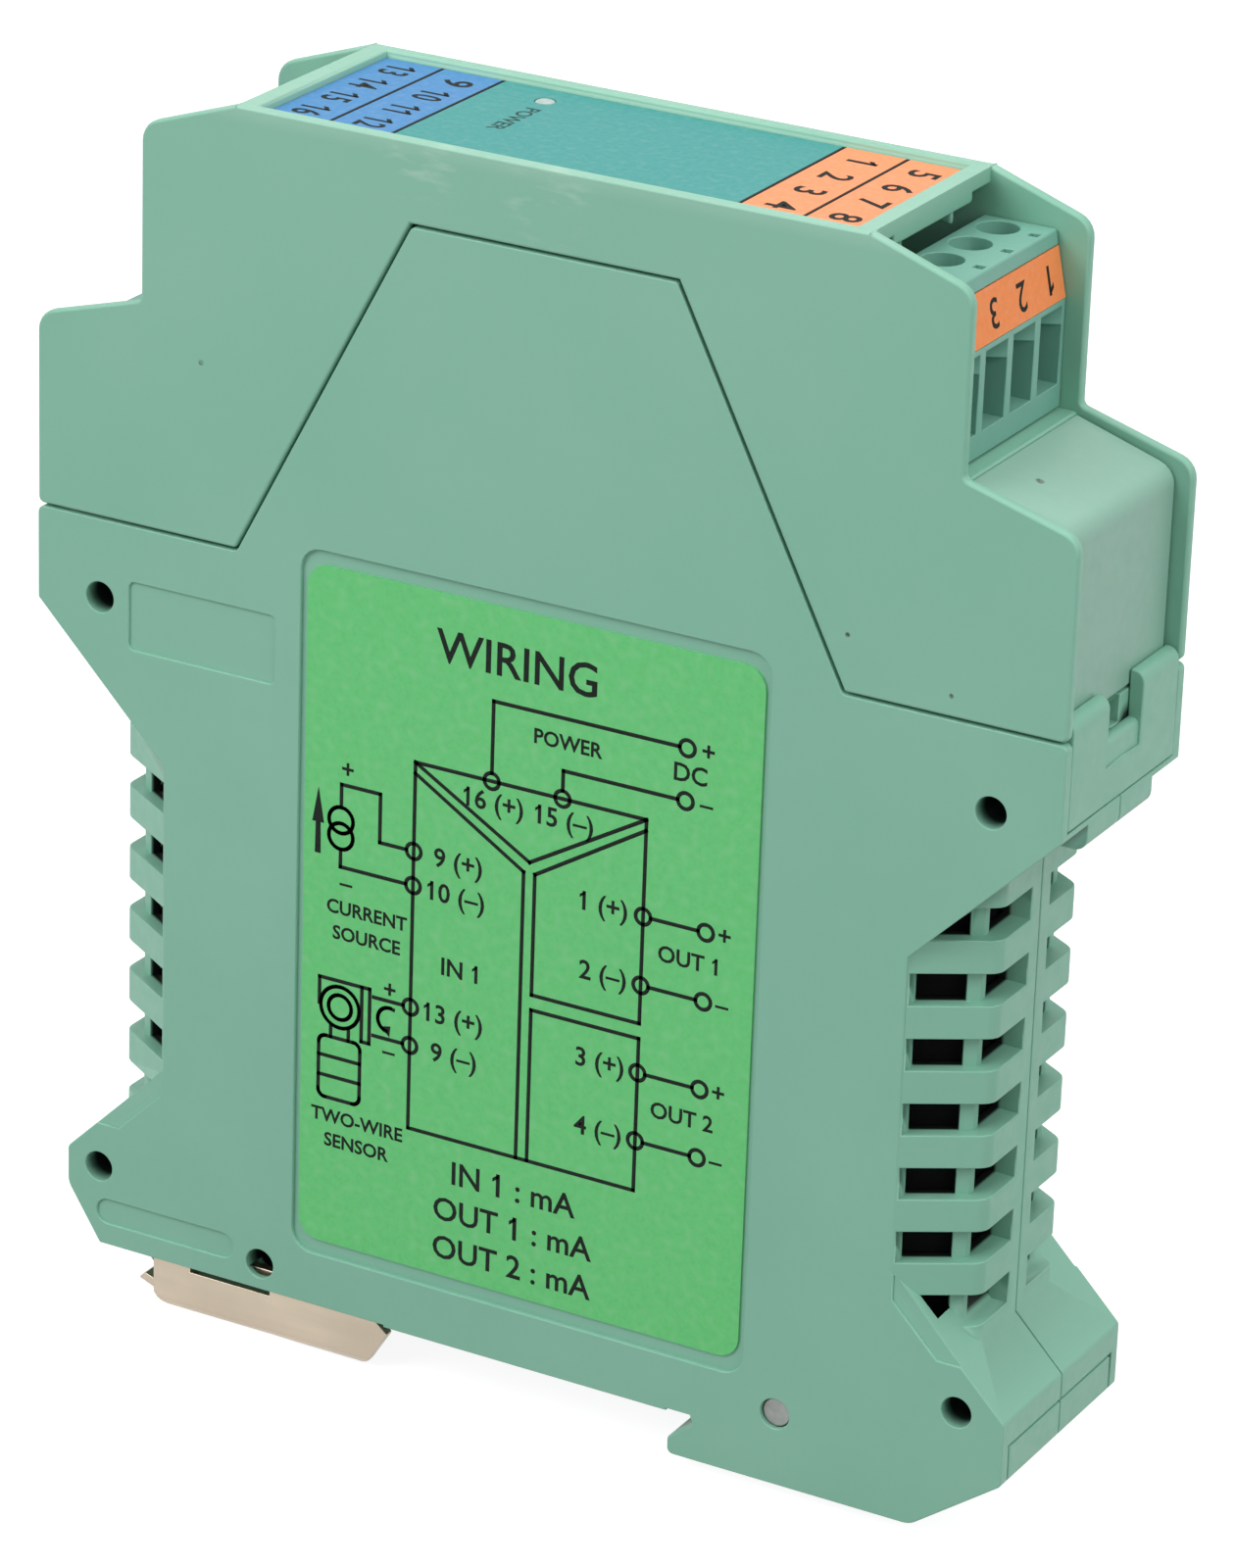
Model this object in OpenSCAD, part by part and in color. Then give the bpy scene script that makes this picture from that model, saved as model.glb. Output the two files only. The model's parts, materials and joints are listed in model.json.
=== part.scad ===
/* [Lower housing] */
// Overall length of the housing, across the rail
body_len = 99; // [96:0.5:108]
// Height of the seam where the lower shells meet the upper housing
lower_h = 75; // [73:0.5:82]
// Wall thickness of the two lower shells
shell_wall = 1.6; // [1.3:0.1:1.9]
// Gap that shows where two mouldings meet
seam = 0.25; // [0.15:0.05:0.4]
// Gap between the two lower half shells
half_gap = 0.14; // [0.08:0.02:0.2]
// Radius of the outline's large corners
corner_r = 2; // [1:0.25:2.5]
// Radius of the outline's small corners
edge_r = 0.6; // [0.3:0.1:0.8]
// Height of the vertical end face below the seam
shoulder_h = 11; // [10.4:0.1:11.8]
// Length of the level lip under the end face
lip_in = 2.5; // [2:0.1:3]
// Half length of the interlocking tab at the seam
tab_base = 29.2; // [27:0.2:31]
// Half length of the interlocking tab at its top
tab_top = 12.5; // [10:0.5:15]
// Distance from the front panel down to the tab's top
tab_drop = 7.4; // [6.5:0.1:9]

/* [Waist and vents] */
// Distance that the waist is set in from each end
waist_in = 6.6; // [6:0.1:8]
// Height at which the waist meets the flared foot
flare_z = 17.7; // [17:0.1:19]
// Length of the waist's corner chamfer along the housing
chamfer_x = 6.6; // [5.5:0.1:7]
// Length of the waist's corner chamfer across the housing
chamfer_y = 4.2; // [3.5:0.05:4.5]
// Wall thickness behind the vent ribs
vent_wall = 1; // [0.8:0.05:1.3]
// Depth of the vent ribs at the end face
rib_d = 1.75; // [1.4:0.05:1.9]
// Depth of the vent ribs at the chamfer
side_d = 1.1; // [0.9:0.05:1.4]
// Radius of the ribs' outer corners
rib_r = 1.6; // [1:0.1:2]
// Number of vent gaps in a column
vent_count = 7; // [6:1:7]
// Spacing of the vent gaps
vent_pitch = 5.93; // [5.7:0.01:5.95]
// Height of one vent gap
vent_gap = 2.9; // [2.4:0.1:3.4]
// Height of the lowest vent gap's middle
vent_first = 20.7; // [20.2:0.1:21.2]
// Plain margin between the flat side and the vents
vent_margin = 0.25; // [0.2:0.05:0.6]
// Width of the solid band along the mid seam
band_w = 3.6; // [3:0.1:4.4]
// Width of the window in the chamfer
side_window = 4.2; // [3.4:0.1:4.4]
// Width of the window in the end face
end_window = 4.2; // [3.6:0.1:4.4]

/* [Foot and rail latch] */
// Height of the face that rests on the rail
seat_z = 5.2; // [5:0.1:5.6]
// Height of the hook's underside
hook_z = 1.15; // [0.8:0.05:1.4]
// Position of the hook's lip along the housing
hook_lip = 15.7; // [15:0.1:17]
// Undercut of the hook behind its lip
hook_under = 2.4; // [2:0.1:2.8]
// Distance of the hook's flank from the end
hook_in = 1.9; // [1.5:0.1:2.5]
// Distance of the latch side's flank from the end
heel_in = 3.1; // [2.6:0.1:3.6]
// Distance of the latch's back edge from the end
latch_end = 11.6; // [11:0.1:12]
// Position of the latch's pointed tip
latch_tip = -13.3; // [-14:0.1:-12.5]
// Sheet thickness of the latch
latch_t = 1; // [0.8:0.1:1.1]
// Free travel of the latch
latch_travel = 6; // [5:0.25:6]
// Distance of the latch's flanges from the flat sides
latch_in = 1.05; // [0.95:0.05:1.2]
// Sliding clearance of the latch
latch_clear = 0.3; // [0.2:0.05:0.35]
// Wire diameter of the latch spring
spring_wire = 0.45; // [0.35:0.05:0.55]
// Outer diameter of the latch spring
spring_d = 3; // [2.6:0.1:3.2]
// Number of turns of the latch spring
spring_turns = 9; // [7:1:11]
// Radius of the assembly holes in the sides
pin_hole_r = 1.4; // [1.2:0.05:1.6]

/* [Side recesses] */
// Width of the wiring label's recess
plate_w = 45.4; // [42:0.2:48]
// Height of the wiring label's recess
plate_h = 66.4; // [62:0.2:68]
// Height of the lower edge of the wiring label's recess
plate_z = 10.5; // [10:0.1:12]
// Depth of the wiring label's recess
plate_d = 0.4; // [0.25:0.05:0.6]
// Margin beside the wiring label
plate_side = 0.6; // [0.4:0.1:1.5]
// Margin above and below the wiring label
plate_end = 1.35; // [0.4:0.05:2]
// Thickness of the wiring label
sheet_t = 0.2; // [0.1:0.05:0.25]

/* [Upper housing] */
// Wall thickness of the upper housing's cheeks
cheek = 1.1; // [1:0.05:1.4]
// Length by which the upper terminal level is set back
level_in = 10.5; // [9.5:0.1:11.5]
// Height between the top of one plug and the bottom of the next
level_gap = 3.6; // [3.4:0.1:4.4]
// Height between the lower plug and the shells below it
bay_gap = 1.6; // [1.5:0.1:2]
// Rise of the ledge between the two levels
ledge_rise = 3; // [2.8:0.1:3.4]
// Drop of the cheek from the front panel to its corner
panel_drop = 3.2; // [3:0.1:4]
// Length of the sloped cheek edge beside the front panel
ramp_len = 9.3; // [8.5:0.1:10]
// Height of the cheek above the plug's top
plug_cover = 0.9; // [0.8:0.1:1.4]
// Rim of the front panel along its sides
rim_side = 1.25; // [1:0.05:1.6]
// Rim of the front panel at its ends
rim_end = 1.8; // [1.4:0.1:2.2]
// Depth of the front panel's tray, down to the label
tray_d = 0.7; // [0.5:0.05:0.9]
// Thickness of the front panel under its label
panel_t = 1.4; // [1.2:0.1:1.6]
// Radius of the power light
light_r = 0.9; // [0.7:0.05:1.1]
// Place of the power light along the panel
light_x = -10.4; // [-12:0.2:-8]

/* [Terminal plugs] */
// Spacing of the terminals
pole_pitch = 5; // [4.9:0.05:5.4]
// Height of a plug
plug_h = 15.1; // [15:0.1:16]
// Depth of the plug's main block
plug_d = 7.9; // [7.8:0.1:8.4]
// Depth of the plug with its nose
plug_reach = 13; // [12.8:0.1:13.6]
// Distance of the plug's face from the cheek's end
plug_inset = 1.8; // [1.6:0.1:2.2]
// Clearance of a plug on each side
plug_clear = 0.15; // [0.1:0.05:0.2]
// Height of the plug above its marker strip
brow_h = 1.2; // [1:0.1:1.4]
// Height of the marker strip along its slope
marker_h = 4.5; // [4.2:0.1:4.7]
// Setback of the plug's face at the top of the marker strip
marker_lean = 0.95; // [0.7:0.05:1.1]
// Thickness of the rib between two wire entries
entry_rib = 1.05; // [1.05:0.05:1.3]
// Height of the wire entry's sill
entry_low = 2.1; // [1.9:0.1:2.4]
// Plain height between the wire entries and the marker strip
entry_under = 0.5; // [0.4:0.1:0.8]
// Radius of the screw well
well_r = 1.8; // [1.7:0.05:1.95]
// Distance of the screw's axis behind the plug's face
well_in = 5.3; // [5.25:0.05:5.4]
// Rise of the clamp cage when its screw is tightened
cage_travel = 2.4; // [2:0.1:2.5]
// Thickness of a connector pin
pin_t = 1; // [0.8:0.05:1.1]

/* [End fittings] */
// Thickness of the snap plate
snap_t = 1.35; // [1.2:0.05:1.5]
// Depth of the snap plate below the seam
snap_low = 7.9; // [7.4:0.1:8.2]
// Height of the blank side's snap plate above the seam
snap_high = 1.7; // [1.4:0.1:2.2]
// Width of the release notch in the snap plate
notch_w = 6.4; // [5.5:0.1:7]
// Wall thickness of the blank cover
cover_wall = 1.3; // [1.1:0.1:1.5]

/* [Circuit] */
// Thickness of the circuit board
board_t = 1.6; // [1.2:0.1:1.6]
// Radius of the reservoir capacitors
cap_r = 3.2; // [2.5:0.1:3.6]
// Length of the reservoir capacitors
cap_len = 11; // [9:0.5:13]

/* [Hidden] */
$fn = 48;

housing_green = [0.51, 0.70, 0.61];
label_green = [0.42, 0.76, 0.47];
label_teal = [0.37, 0.70, 0.66];
marker_orange = [0.98, 0.60, 0.36];
marker_blue = [0.31, 0.59, 0.88];
sheet_steel = [0.80, 0.75, 0.69];
bright_steel = [0.78, 0.79, 0.80];
board_green = [0.16, 0.36, 0.22];
ferrite_grey = [0.20, 0.20, 0.22];
copper = [0.72, 0.45, 0.20];
black_plastic = [0.10, 0.10, 0.11];
lens_white = [0.92, 0.95, 0.92];

// Terminals in one plug, and the plugs' bays as [side, level, first terminal]
poles = 4;
right_bay = [1, 1, 1];
left_upper_bay = [-1, 1, 9];
left_lower_bay = [-1, 0, 13];
bays = [right_bay, left_upper_bay, left_lower_bay];
fit = 0.05; // clearance of pieces that are pressed or slid into place
eps = 0.02; // overlap of cutting shapes
far = 40; // reach of cuts that leave the part

// Widths and heights that follow from the plugs
plug_w = poles * pole_pitch;
half_w = plug_w / 2 + plug_clear + cheek;
end_x = body_len / 2;
level_h = plug_h + level_gap;
upper_end = end_x - level_in;
lower_corner = lower_h + bay_gap + plug_h + plug_cover;
upper_corner = lower_corner + level_h;
body_h = upper_corner + panel_drop;
panel_x = upper_end - ramp_len;
tab_z = body_h - tab_drop;

// The waist, its slopes and its chamfered corners
waist_x = end_x - waist_in;
shoulder_z = lower_h - shoulder_h;
waist_top = shoulder_z - waist_in + lip_in;
chamfer_edge = [waist_x - chamfer_x, -half_w];
chamfer_end = [waist_x, chamfer_y - half_w];
chamfer_dir = unit(chamfer_end - chamfer_edge);
chamfer_out = [chamfer_dir.y, -chamfer_dir.x];
rib_steps = 3;
function slope_high(x) = waist_top + x - waist_x;
function slope_low(x) = flare_z + waist_x - x;
lip_r = 1.2;

// The foot
hook_flank = end_x - hook_in;
heel_flank = end_x - heel_in;
toe_in = 10.2;
hook_toe = end_x - toe_in;
hook_flank_z = 7.2;
hook_lip_h = 1.6;
throat_w = 0.3;
throat_h = 0.7;
heel_run = 6.5;
heel_x = end_x - heel_run;
heel_z = 10.6;
foot_t = 3;
relief = 0.2;
foot_floor = seat_z + foot_t;

// The latch, its guide under the foot and its spring
flange_y = half_w - latch_in;
flange_wall = flange_y - latch_t;
guide_y = flange_wall - latch_clear;
guide_gap = 0.45;
guide_low = latch_t + guide_gap;
latch_back = latch_end - end_x;
guide_end = 9.2;
guide_heel = guide_end - end_x;
guide_len = 5.3;
guide_step = guide_heel + guide_len;
guide_d = 2;
rest_d = 1.5;
rest_len = 2.4;
groove_end = 7.9;
groove_back = groove_end - end_x;
groove_front = -19;
groove_d = 2;
groove_top = seat_z + groove_d;
flange_top = groove_top - latch_clear;
flange_front = groove_front - 2 * latch_clear;
latch_gap = 0.2;
latch_side = seat_z - latch_gap;
fold_r = 1.4;
tip_run = 2.4;
tip_drop = 1.3;
tongue_in = 0.5;
tongue_w = 2 * (flange_wall - tongue_in);
tongue_root = 2.4;
tongue_knee = 0.4;
tongue_reach = 2.5;
tongue_h = 2.2;
tongue_t = 0.65;
tongue_outline = [[tongue_root, eps], [tongue_root, latch_t], [tongue_knee, latch_t + tongue_knee],
    [tongue_t - tongue_reach, tongue_h], [-tongue_reach, tongue_h - tongue_t],
    [tongue_knee / 2, latch_t / 2]];
lug_in = 1.3;
lug_x = guide_step + lug_in;
lug_w = 1.8;
lug_h = 0.6;
lug_top = seat_z + relief + lug_h;
lug_window = 0.8;
spring_wall = 1.8;
spring_stop = guide_step + spring_wall;
spring_z = latch_t + spring_d / 2 + latch_clear;
finger_x = -18;
finger_w = 4.4;
finger_drop = 0.7;
finger_rim = 0.6;
arm_len = 5.5;
pocket_side = 1;
pocket_w = spring_d + 2 * pocket_side;
pocket_drop = 0.1;

// Plug details in the plug's own frame: x out of the face, z up from its underside
marker_t = 0.3;
marker_z = plug_h - brow_h - marker_h;
entry_high = marker_z - entry_under;
brow = 0.2;
play = 0.2;
nose_side = 1;
nose_low = 1.2;
nose_high = 8.8;
contact_z = 4.3;
contact_t = 0.6;
contact_w = 1.9;
contact_front = 3.9;
pin_gap = 0.1;
pin_z = contact_z + contact_t + pin_gap + pin_t / 2;
pin_front = 0.5;
cage_w = 3.6;
cage_d = 3.4;
cage_h = 5.6;
cage_wall = 0.6;
cage_floor = 0.7;
cage_lid = 0.8;
cage_low = 1;
cage_clear = 0.15;
cage_over = 0.3;
cage_roof = cage_low + cage_h + cage_travel + cage_over;
thread_clear = 0.1;
seat_t = 0.7;
screw_seat = cage_roof + seat_t;
screw_head_r = well_r - thread_clear;
screw_head_h = 2.4;
slot_d = 0.7;
slot_t = 0.55;
shank_r = 0.95;
shank_end = 5.4;
entry_d = 2.1;
entry_hood = 1.7;
hood_side = 1.2;
test_hole = 0.9;
test_in = 2;
test_deep = 3;
header_t = 1;
header_gap = 0.3;
header_back = 2.3;
header_end = plug_reach + play + header_back;
tail_first = 1.4;
tail_step = 1.6;
function pole_y(i) = ((poles - 1) / 2 - i) * pole_pitch;
function bay_front(level) = end_x - level * level_in - plug_inset;
function bay_low(level) = lower_h + bay_gap + level * level_h;
function tail_x(i) = header_end + tail_first + tail_step * i;

// The circuit board stands against the far wall
board_back = half_w - shell_wall - fit;
board_face = board_back - board_t;
board_low = 11.5;
board_clear = 0.5;
board_in = 3;
board_over = 2;
board_half = chamfer_edge.x - board_in;
board_mid = bay_front(0) - header_end - fit;
board_top = bay_front(1) - header_end - fit;
board_high = bay_low(1) + nose_high + board_over;

// Vector and outline helpers
function unit(v) = v / norm(v);
function left_of(v) = [-v.y, v.x];
function fillet(a, b, c, r, steps) =
    let (to_a = unit(a - b), to_c = unit(c - b), angle = acos(to_a * to_c),
        middle = b + unit(to_a + to_c) * r / sin(angle / 2),
        from = b + to_a * r / tan(angle / 2) - middle,
        to = b + to_c * r / tan(angle / 2) - middle,
        sweep = 180 - angle)
    [for (k = [0:steps])
        middle + (from * sin(sweep * (1 - k / steps)) + to * sin(sweep * k / steps)) / sin(sweep)];
function rounded(points, steps = 5) =
    let (n = len(points), flat = [for (p = points) [p.x, p.y]])
    [for (i = [0:n - 1]) each points[i][2] == undef ? [flat[i]]
        : fillet(flat[(i + n - 1) % n], flat[i], flat[(i + 1) % n], points[i][2], steps)];
function inset(points, d) =
    let (n = len(points))
    [for (i = [0:n - 1])
        let (before = left_of(unit(points[i] - points[(i + n - 1) % n])),
            after = left_of(unit(points[(i + 1) % n] - points[i])))
        points[i] + d * (before + after) / (1 + before * after)];
function flipped(points) = [for (i = [len(points) - 1:-1:0]) [-points[i].x, points[i].y, points[i][2]]];

// Extrudes an outline drawn in X and Z from y0 to y1
module along_y(y0, y1) {
    translate([0, y1, 0]) rotate([90, 0, 0]) linear_extrude(y1 - y0) children();
}

// Extrudes an outline drawn in Y and Z from x0 to x1
module along_x(x0, x1) {
    translate([x0, 0, 0]) rotate([90, 0, 90]) linear_extrude(x1 - x0) children();
}

// A block given by its lowest and highest corners
module block(low, high) {
    translate(low) cube(high - low);
}

// A cylinder across the housing at a point of the side view
module across(point, r, y0, y1) {
    translate([point.x, y1, point.y]) rotate([90, 0, 0]) cylinder(r = r, h = y1 - y0);
}

// Repeats its children at both ends of the housing
module both_ends() {
    children();
    mirror([1, 0, 0]) children();
}

// Places its children in a plug's frame
module at_bay(bay) {
    mirror([bay[0] < 0 ? 1 : 0, 0, 0]) translate([bay_front(bay[1]), 0, bay_low(bay[1])]) children();
}

// Side view of the lower shells
tab_outline = [[tab_base, lower_h], [tab_top, tab_z], [-tab_top, tab_z], [-tab_base, lower_h]];
lower_outline = rounded([
    [-heel_x, seat_z + relief], [latch_tip + latch_gap, seat_z + relief], [latch_tip + latch_gap, seat_z],
    [hook_lip - latch_gap, seat_z], [hook_lip - latch_gap, seat_z + relief],
    [hook_lip + hook_under - throat_w, seat_z + relief], [hook_lip + hook_under, seat_z - throat_h],
    [hook_lip, hook_z + hook_lip_h, edge_r], [hook_lip, hook_z, edge_r], [hook_toe, hook_z, corner_r],
    [hook_flank, hook_flank_z, edge_r], [hook_flank, slope_low(hook_flank), edge_r],
    [waist_x, flare_z], [waist_x, waist_top], [end_x - lip_in, shoulder_z], [end_x, shoulder_z, lip_r],
    [end_x, lower_h, edge_r],
    [tab_base, lower_h, edge_r], [tab_top, tab_z, edge_r], [-tab_top, tab_z, edge_r],
    [-tab_base, lower_h, edge_r], [-end_x, lower_h, edge_r], [-end_x, shoulder_z, lip_r],
    [lip_in - end_x, shoulder_z], [-waist_x, waist_top], [-waist_x, flare_z],
    [-heel_flank, slope_low(heel_flank), edge_r], [-heel_flank, heel_z, corner_r]]);

// Hollow of the lower shells: thicker at the waist's ribs and behind the snap plates
hollow_waist = waist_x - rib_d - vent_wall + shell_wall;
hollow_end = end_x - snap_t - fit;
neck_in = 2;
neck = tab_base - neck_in;
hollow_right = [[hook_flank, foot_floor - shell_wall], [hook_flank, slope_low(hook_flank)],
    [hollow_waist, slope_low(hollow_waist)], [hollow_waist, slope_high(hollow_waist)],
    [end_x - lip_in, shoulder_z], [hollow_end, shoulder_z], [hollow_end, lower_h]];
hollow_left = [[-hollow_end, lower_h], [-hollow_end, shoulder_z], [lip_in - end_x, shoulder_z],
    [-hollow_waist, slope_high(hollow_waist)],
    [-hollow_waist, slope_low(hollow_waist)], [-heel_flank, slope_low(heel_flank)],
    [-heel_flank, foot_floor - shell_wall]];

// Region of the side view that the waist's corner cuts may reach
module waist_mask() {
    inner = chamfer_edge.x - chamfer_x;
    outer = waist_x + chamfer_x;
    polygon([[inner, slope_low(inner)], [outer, slope_low(outer)],
        [outer, slope_high(outer)], [inner, slope_high(inner)]]);
}

// Plan of everything outside a waist corner, whose turn to the end face is rounded
module corner_plan() {
    start = chamfer_edge - (chamfer_end - chamfer_edge) / 2;
    corner = chamfer_end + eps / chamfer_dir.x * chamfer_dir;
    turn = fillet(chamfer_edge, corner, [corner.x, 0], rib_r, rib_steps);
    outer = far + waist_x;
    polygon(concat([[start.x, -far], start], turn, [[outer, turn[rib_steps].y], [outer, -far]]));
}

// Plan of the walls behind a waist corner's ribs
module corner_wall() {
    reach = chamfer_end - chamfer_edge;
    depth = (side_d + vent_wall) * chamfer_out;
    start = chamfer_edge - reach / 2 - depth;
    end = chamfer_end + reach / 2 - depth;
    polygon([start, [start.x, -far], [end.x, -far], end]);
}

// Plan of one vent gap: the recess between two ribs and its two windows
module vent_plan() {
    slope = chamfer_dir.y / chamfer_dir.x;
    start = chamfer_edge + [vent_margin, vent_margin * slope + side_d / chamfer_dir.x];
    recess_x = waist_x - rib_d;
    corner = start + (recess_x - start.x) * [1, slope];
    reach = vent_wall + shell_wall;
    window = side_window * chamfer_dir;
    polygon([start, corner, [recess_x, -band_w / 2], [far + waist_x, -band_w / 2], [far + waist_x, -far],
        [start.x, -far]]);
    polygon([start + side_d * chamfer_out, start - reach * chamfer_out, start + window - reach * chamfer_out,
        start + window + side_d * chamfer_out]);
    translate([recess_x - reach, -band_w / 2 - end_window]) square([reach + eps, end_window]);
}

// Cuts of one waist corner: its chamfer and its column of vent gaps
module waist_cuts() {
    intersection() {
        along_y(-far, 0) waist_mask();
        union() {
            translate([0, 0, flare_z - far]) linear_extrude(lower_h + far) corner_plan();
            for (i = [0:vent_count - 1])
                translate([0, 0, vent_first + i * vent_pitch - vent_gap / 2])
                    linear_extrude(vent_gap) vent_plan();
        }
    }
}

// Places of the assembly holes in the side view
hole_in = 6.4;
hole_drop = 7.2;
hole_high = lower_h - hole_drop;
hole_low = 13;
foot_hole_x = 26;
foot_hole_z = 7.9;
shell_holes = [[end_x - hole_in, hole_high], [hole_in - end_x, hole_high], [end_x - hole_in, hole_low],
    [hole_in - end_x, hole_low], [foot_hole_x, foot_hole_z], [-foot_hole_x, foot_hole_z]];
boss_wall = 1.2;

// Part of the foot that the latch slides on, and the groove for the latch's flange
module latch_guide() {
    along_y(-guide_y, -half_gap / 2)
        polygon([[guide_heel, seat_z + relief + eps], [guide_heel + guide_d, seat_z - guide_d],
            [guide_step, seat_z - guide_d], [guide_step, guide_low], [finger_x - latch_t, guide_low],
            [finger_x - latch_t, seat_z - rest_d], [finger_x + rest_len, seat_z - rest_d],
            [finger_x + rest_len, seat_z + relief + eps]]);
}
module latch_cuts() {
    difference() {
        block([groove_back, -flange_y - latch_clear, seat_z - eps], [groove_front, -guide_y, groove_top]);
        block([lug_x, -far, 0], [lug_x + lug_w, far, lug_top]);
    }
    block([spring_stop, -pocket_w / 2, -eps], [finger_x + latch_t, 0, seat_z - pocket_drop]);
}

// Recesses moulded into the flat side
nameplate_in = 9.4;
nameplate_x = nameplate_in - end_x;
nameplate_w = 14.9;
nameplate_drop = 11.4;
nameplate_z = lower_h - nameplate_drop;
nameplate_h = 6.3;
slot_in = 6.2;
slot_x = slot_in - end_x;
slot_w = 14.5;
slot_z = 7.5;
slot_h = 2.4;
recess_d = 0.25;
strip_h = 2.3;
strip_in = 1.9;
module rounded_rect(x, z, w, h, r) {
    polygon(rounded([[x, z, r], [x + w, z, r], [x + w, z + h, r], [x, z + h, r]]));
}
module flare_strip() {
    inner = chamfer_edge.x + vent_margin;
    outer = waist_x - strip_in;
    polygon([[inner, slope_low(inner) + eps], [inner, slope_low(inner) - strip_h],
        [outer, slope_low(outer) - strip_h], [outer + strip_h + eps, slope_low(outer) - strip_h]]);
}
module side_recesses() {
    along_y(-half_w - eps, -half_w + plate_d)
        rounded_rect(-plate_w / 2, plate_z, plate_w, plate_h, corner_r);
    along_y(-half_w - eps, -half_w + recess_d) {
        rounded_rect(nameplate_x, nameplate_z, nameplate_w, nameplate_h, edge_r);
        rounded_rect(slot_x, slot_z, slot_w, slot_h, slot_h / 2 - fit);
        both_ends() flare_strip();
    }
}

// Parting line round the lower part of the foot's end
parting_in = 1.25;
parting_rise = 3.15;
parting_w = 0.25;
parting_d = 0.35;
module parting_line() {
    y = parting_in - half_w;
    z = hook_flank_z + parting_rise;
    block([hook_flank - parting_d, y, z], [end_x, far, z + parting_w]);
    block([hook_flank - parting_d, y, hook_z], [end_x, y + parting_w, z + parting_w]);
}

// Pocket for the snap plate in the end face, and the window behind its release notch
snap_gap = 0.3;
notch_d = 4.6;
roll_h = 2.2;
roll_z = lower_h - notch_d + roll_h;
module snap_pocket() {
    block([end_x - snap_t - fit, -plug_w / 2 - fit, lower_h - snap_low - snap_gap / 2],
        [end_x + eps, far, lower_h + eps]);
    block([hollow_end - shell_wall - eps, shell_wall - notch_w / 2, roll_z], [end_x, far, lower_h + eps]);
}

// One lower half shell, on the near side
module half_shell() {
    difference() {
        union() {
            difference() {
                along_y(-half_w, -half_gap / 2) polygon(lower_outline);
                difference() {
                    union() {
                        along_y(-half_w + shell_wall, far)
                            polygon(inset(concat(hollow_right, hollow_left), shell_wall));
                        block([-neck, -half_w + shell_wall, lower_h - 2 * shell_wall], [neck, far, body_h]);
                        block([-end_x, -half_w + shell_wall, lower_h], [end_x, far, body_h]);
                    }
                    both_ends() intersection() {
                        along_y(-far, far) waist_mask();
                        translate([0, 0, -far]) linear_extrude(body_h + far) corner_wall();
                    }
                }
            }
            for (p = shell_holes) across(p, pin_hole_r + boss_wall, -half_w + eps + plate_d, -half_gap / 2);
            latch_guide();
        }
        for (p = shell_holes) across(p, pin_hole_r, -half_w - eps, far);
        both_ends() waist_cuts();
        both_ends() snap_pocket();
        side_recesses();
        parting_line();
        latch_cuts();
    }
}
module near_shell() {
    color(housing_green) half_shell();
}
module far_shell() {
    color(housing_green) mirror([0, 1, 0]) half_shell();
}

// Upper housing: two cheeks over the tabs, the front panel's tray and the plug shelves
shelf_t = 1.2;
shelf_in = bay_front(1) - header_end + seam;
shelf_top = bay_low(1) - play;
label_z = body_h - tray_d;
panel_low = label_z - sheet_t - panel_t;
stop_y = 4.6;
stop_t = 0.5;
stop_gap = 0.5;
step_w = 3;
step_h = 0.8;
cheek_right = [[end_x, lower_h + seam, edge_r], [end_x, lower_corner, corner_r],
    [upper_end, lower_corner + ledge_rise, edge_r], [upper_end, upper_corner, corner_r],
    [panel_x, body_h, edge_r]];
module upper_housing() {
    inside = half_w - cheek + eps;
    color(housing_green) difference() {
        union() {
            difference() {
                along_y(-half_w, half_w) polygon(rounded(concat(cheek_right, flipped(cheek_right))));
                block([-body_len, -half_w + cheek, 0], [body_len, half_w - cheek, 2 * body_h]);
                along_y(-far, far)
                    polygon(inset(concat(tab_outline, [[-tab_base, 0], [tab_base, 0]]), -seam));
            }
            block([-panel_x, -inside, panel_low], [panel_x, inside, body_h]);
            both_ends() {
                for (y = [-stop_y, stop_y])
                    block([panel_x - rim_end, y - stop_t / 2, bay_low(1) + plug_h + stop_gap],
                        [panel_x - stop_t, y + stop_t / 2, body_h - tray_d]);
                block([shelf_in, -inside, shelf_top - shelf_t], [upper_end - seam, inside, shelf_top]);
            }
        }
        block([-panel_x + rim_end, -half_w + rim_side, label_z - sheet_t],
            [panel_x - rim_end, half_w - rim_side, far + body_h]);
        translate([light_x, light_y, lower_h]) cylinder(r = light_r + fit, h = body_h);
        both_ends() for (y = [cheek - half_w, half_w - cheek - step_w])
            block([panel_x - rim_end, y, panel_low - eps], [panel_x + eps, y + step_w, panel_low + step_h]);
    }
}

// Printed label in the front panel's tray
module front_label() {
    color(label_teal) difference() {
        block([-panel_x + rim_end + fit, -half_w + rim_side + fit, label_z - sheet_t],
            [panel_x - rim_end - fit, half_w - rim_side - fit, label_z]);
        translate([light_x, light_y, lower_h]) cylinder(r = light_r + fit, h = body_h);
    }
}

// Light pipe from the lamp on the board to the front panel
led_size = [2.6, 2.4, 3];
light_proud = 0.15;
light_y = board_face - led_size.y / 2;
module power_light() {
    color(lens_white) translate([light_x, light_y, board_high + fit])
        cylinder(r = light_r, h = label_z + light_proud - board_high - fit);
}
module power_led() {
    color(lens_white) block([light_x - led_size.x / 2, board_face - led_size.y, board_high - led_size.z],
        [light_x + led_size.x / 2, board_face, board_high]);
}

// Adhesive wiring label on the near side
module wiring_label() {
    color(label_green) along_y(-half_w + plate_d - sheet_t, -half_w + plate_d)
        rounded_rect(-plate_w / 2 + plate_side, plate_z + plate_end, plate_w - 2 * plate_side,
            plate_h - 2 * plate_end, corner_r);
}

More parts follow.
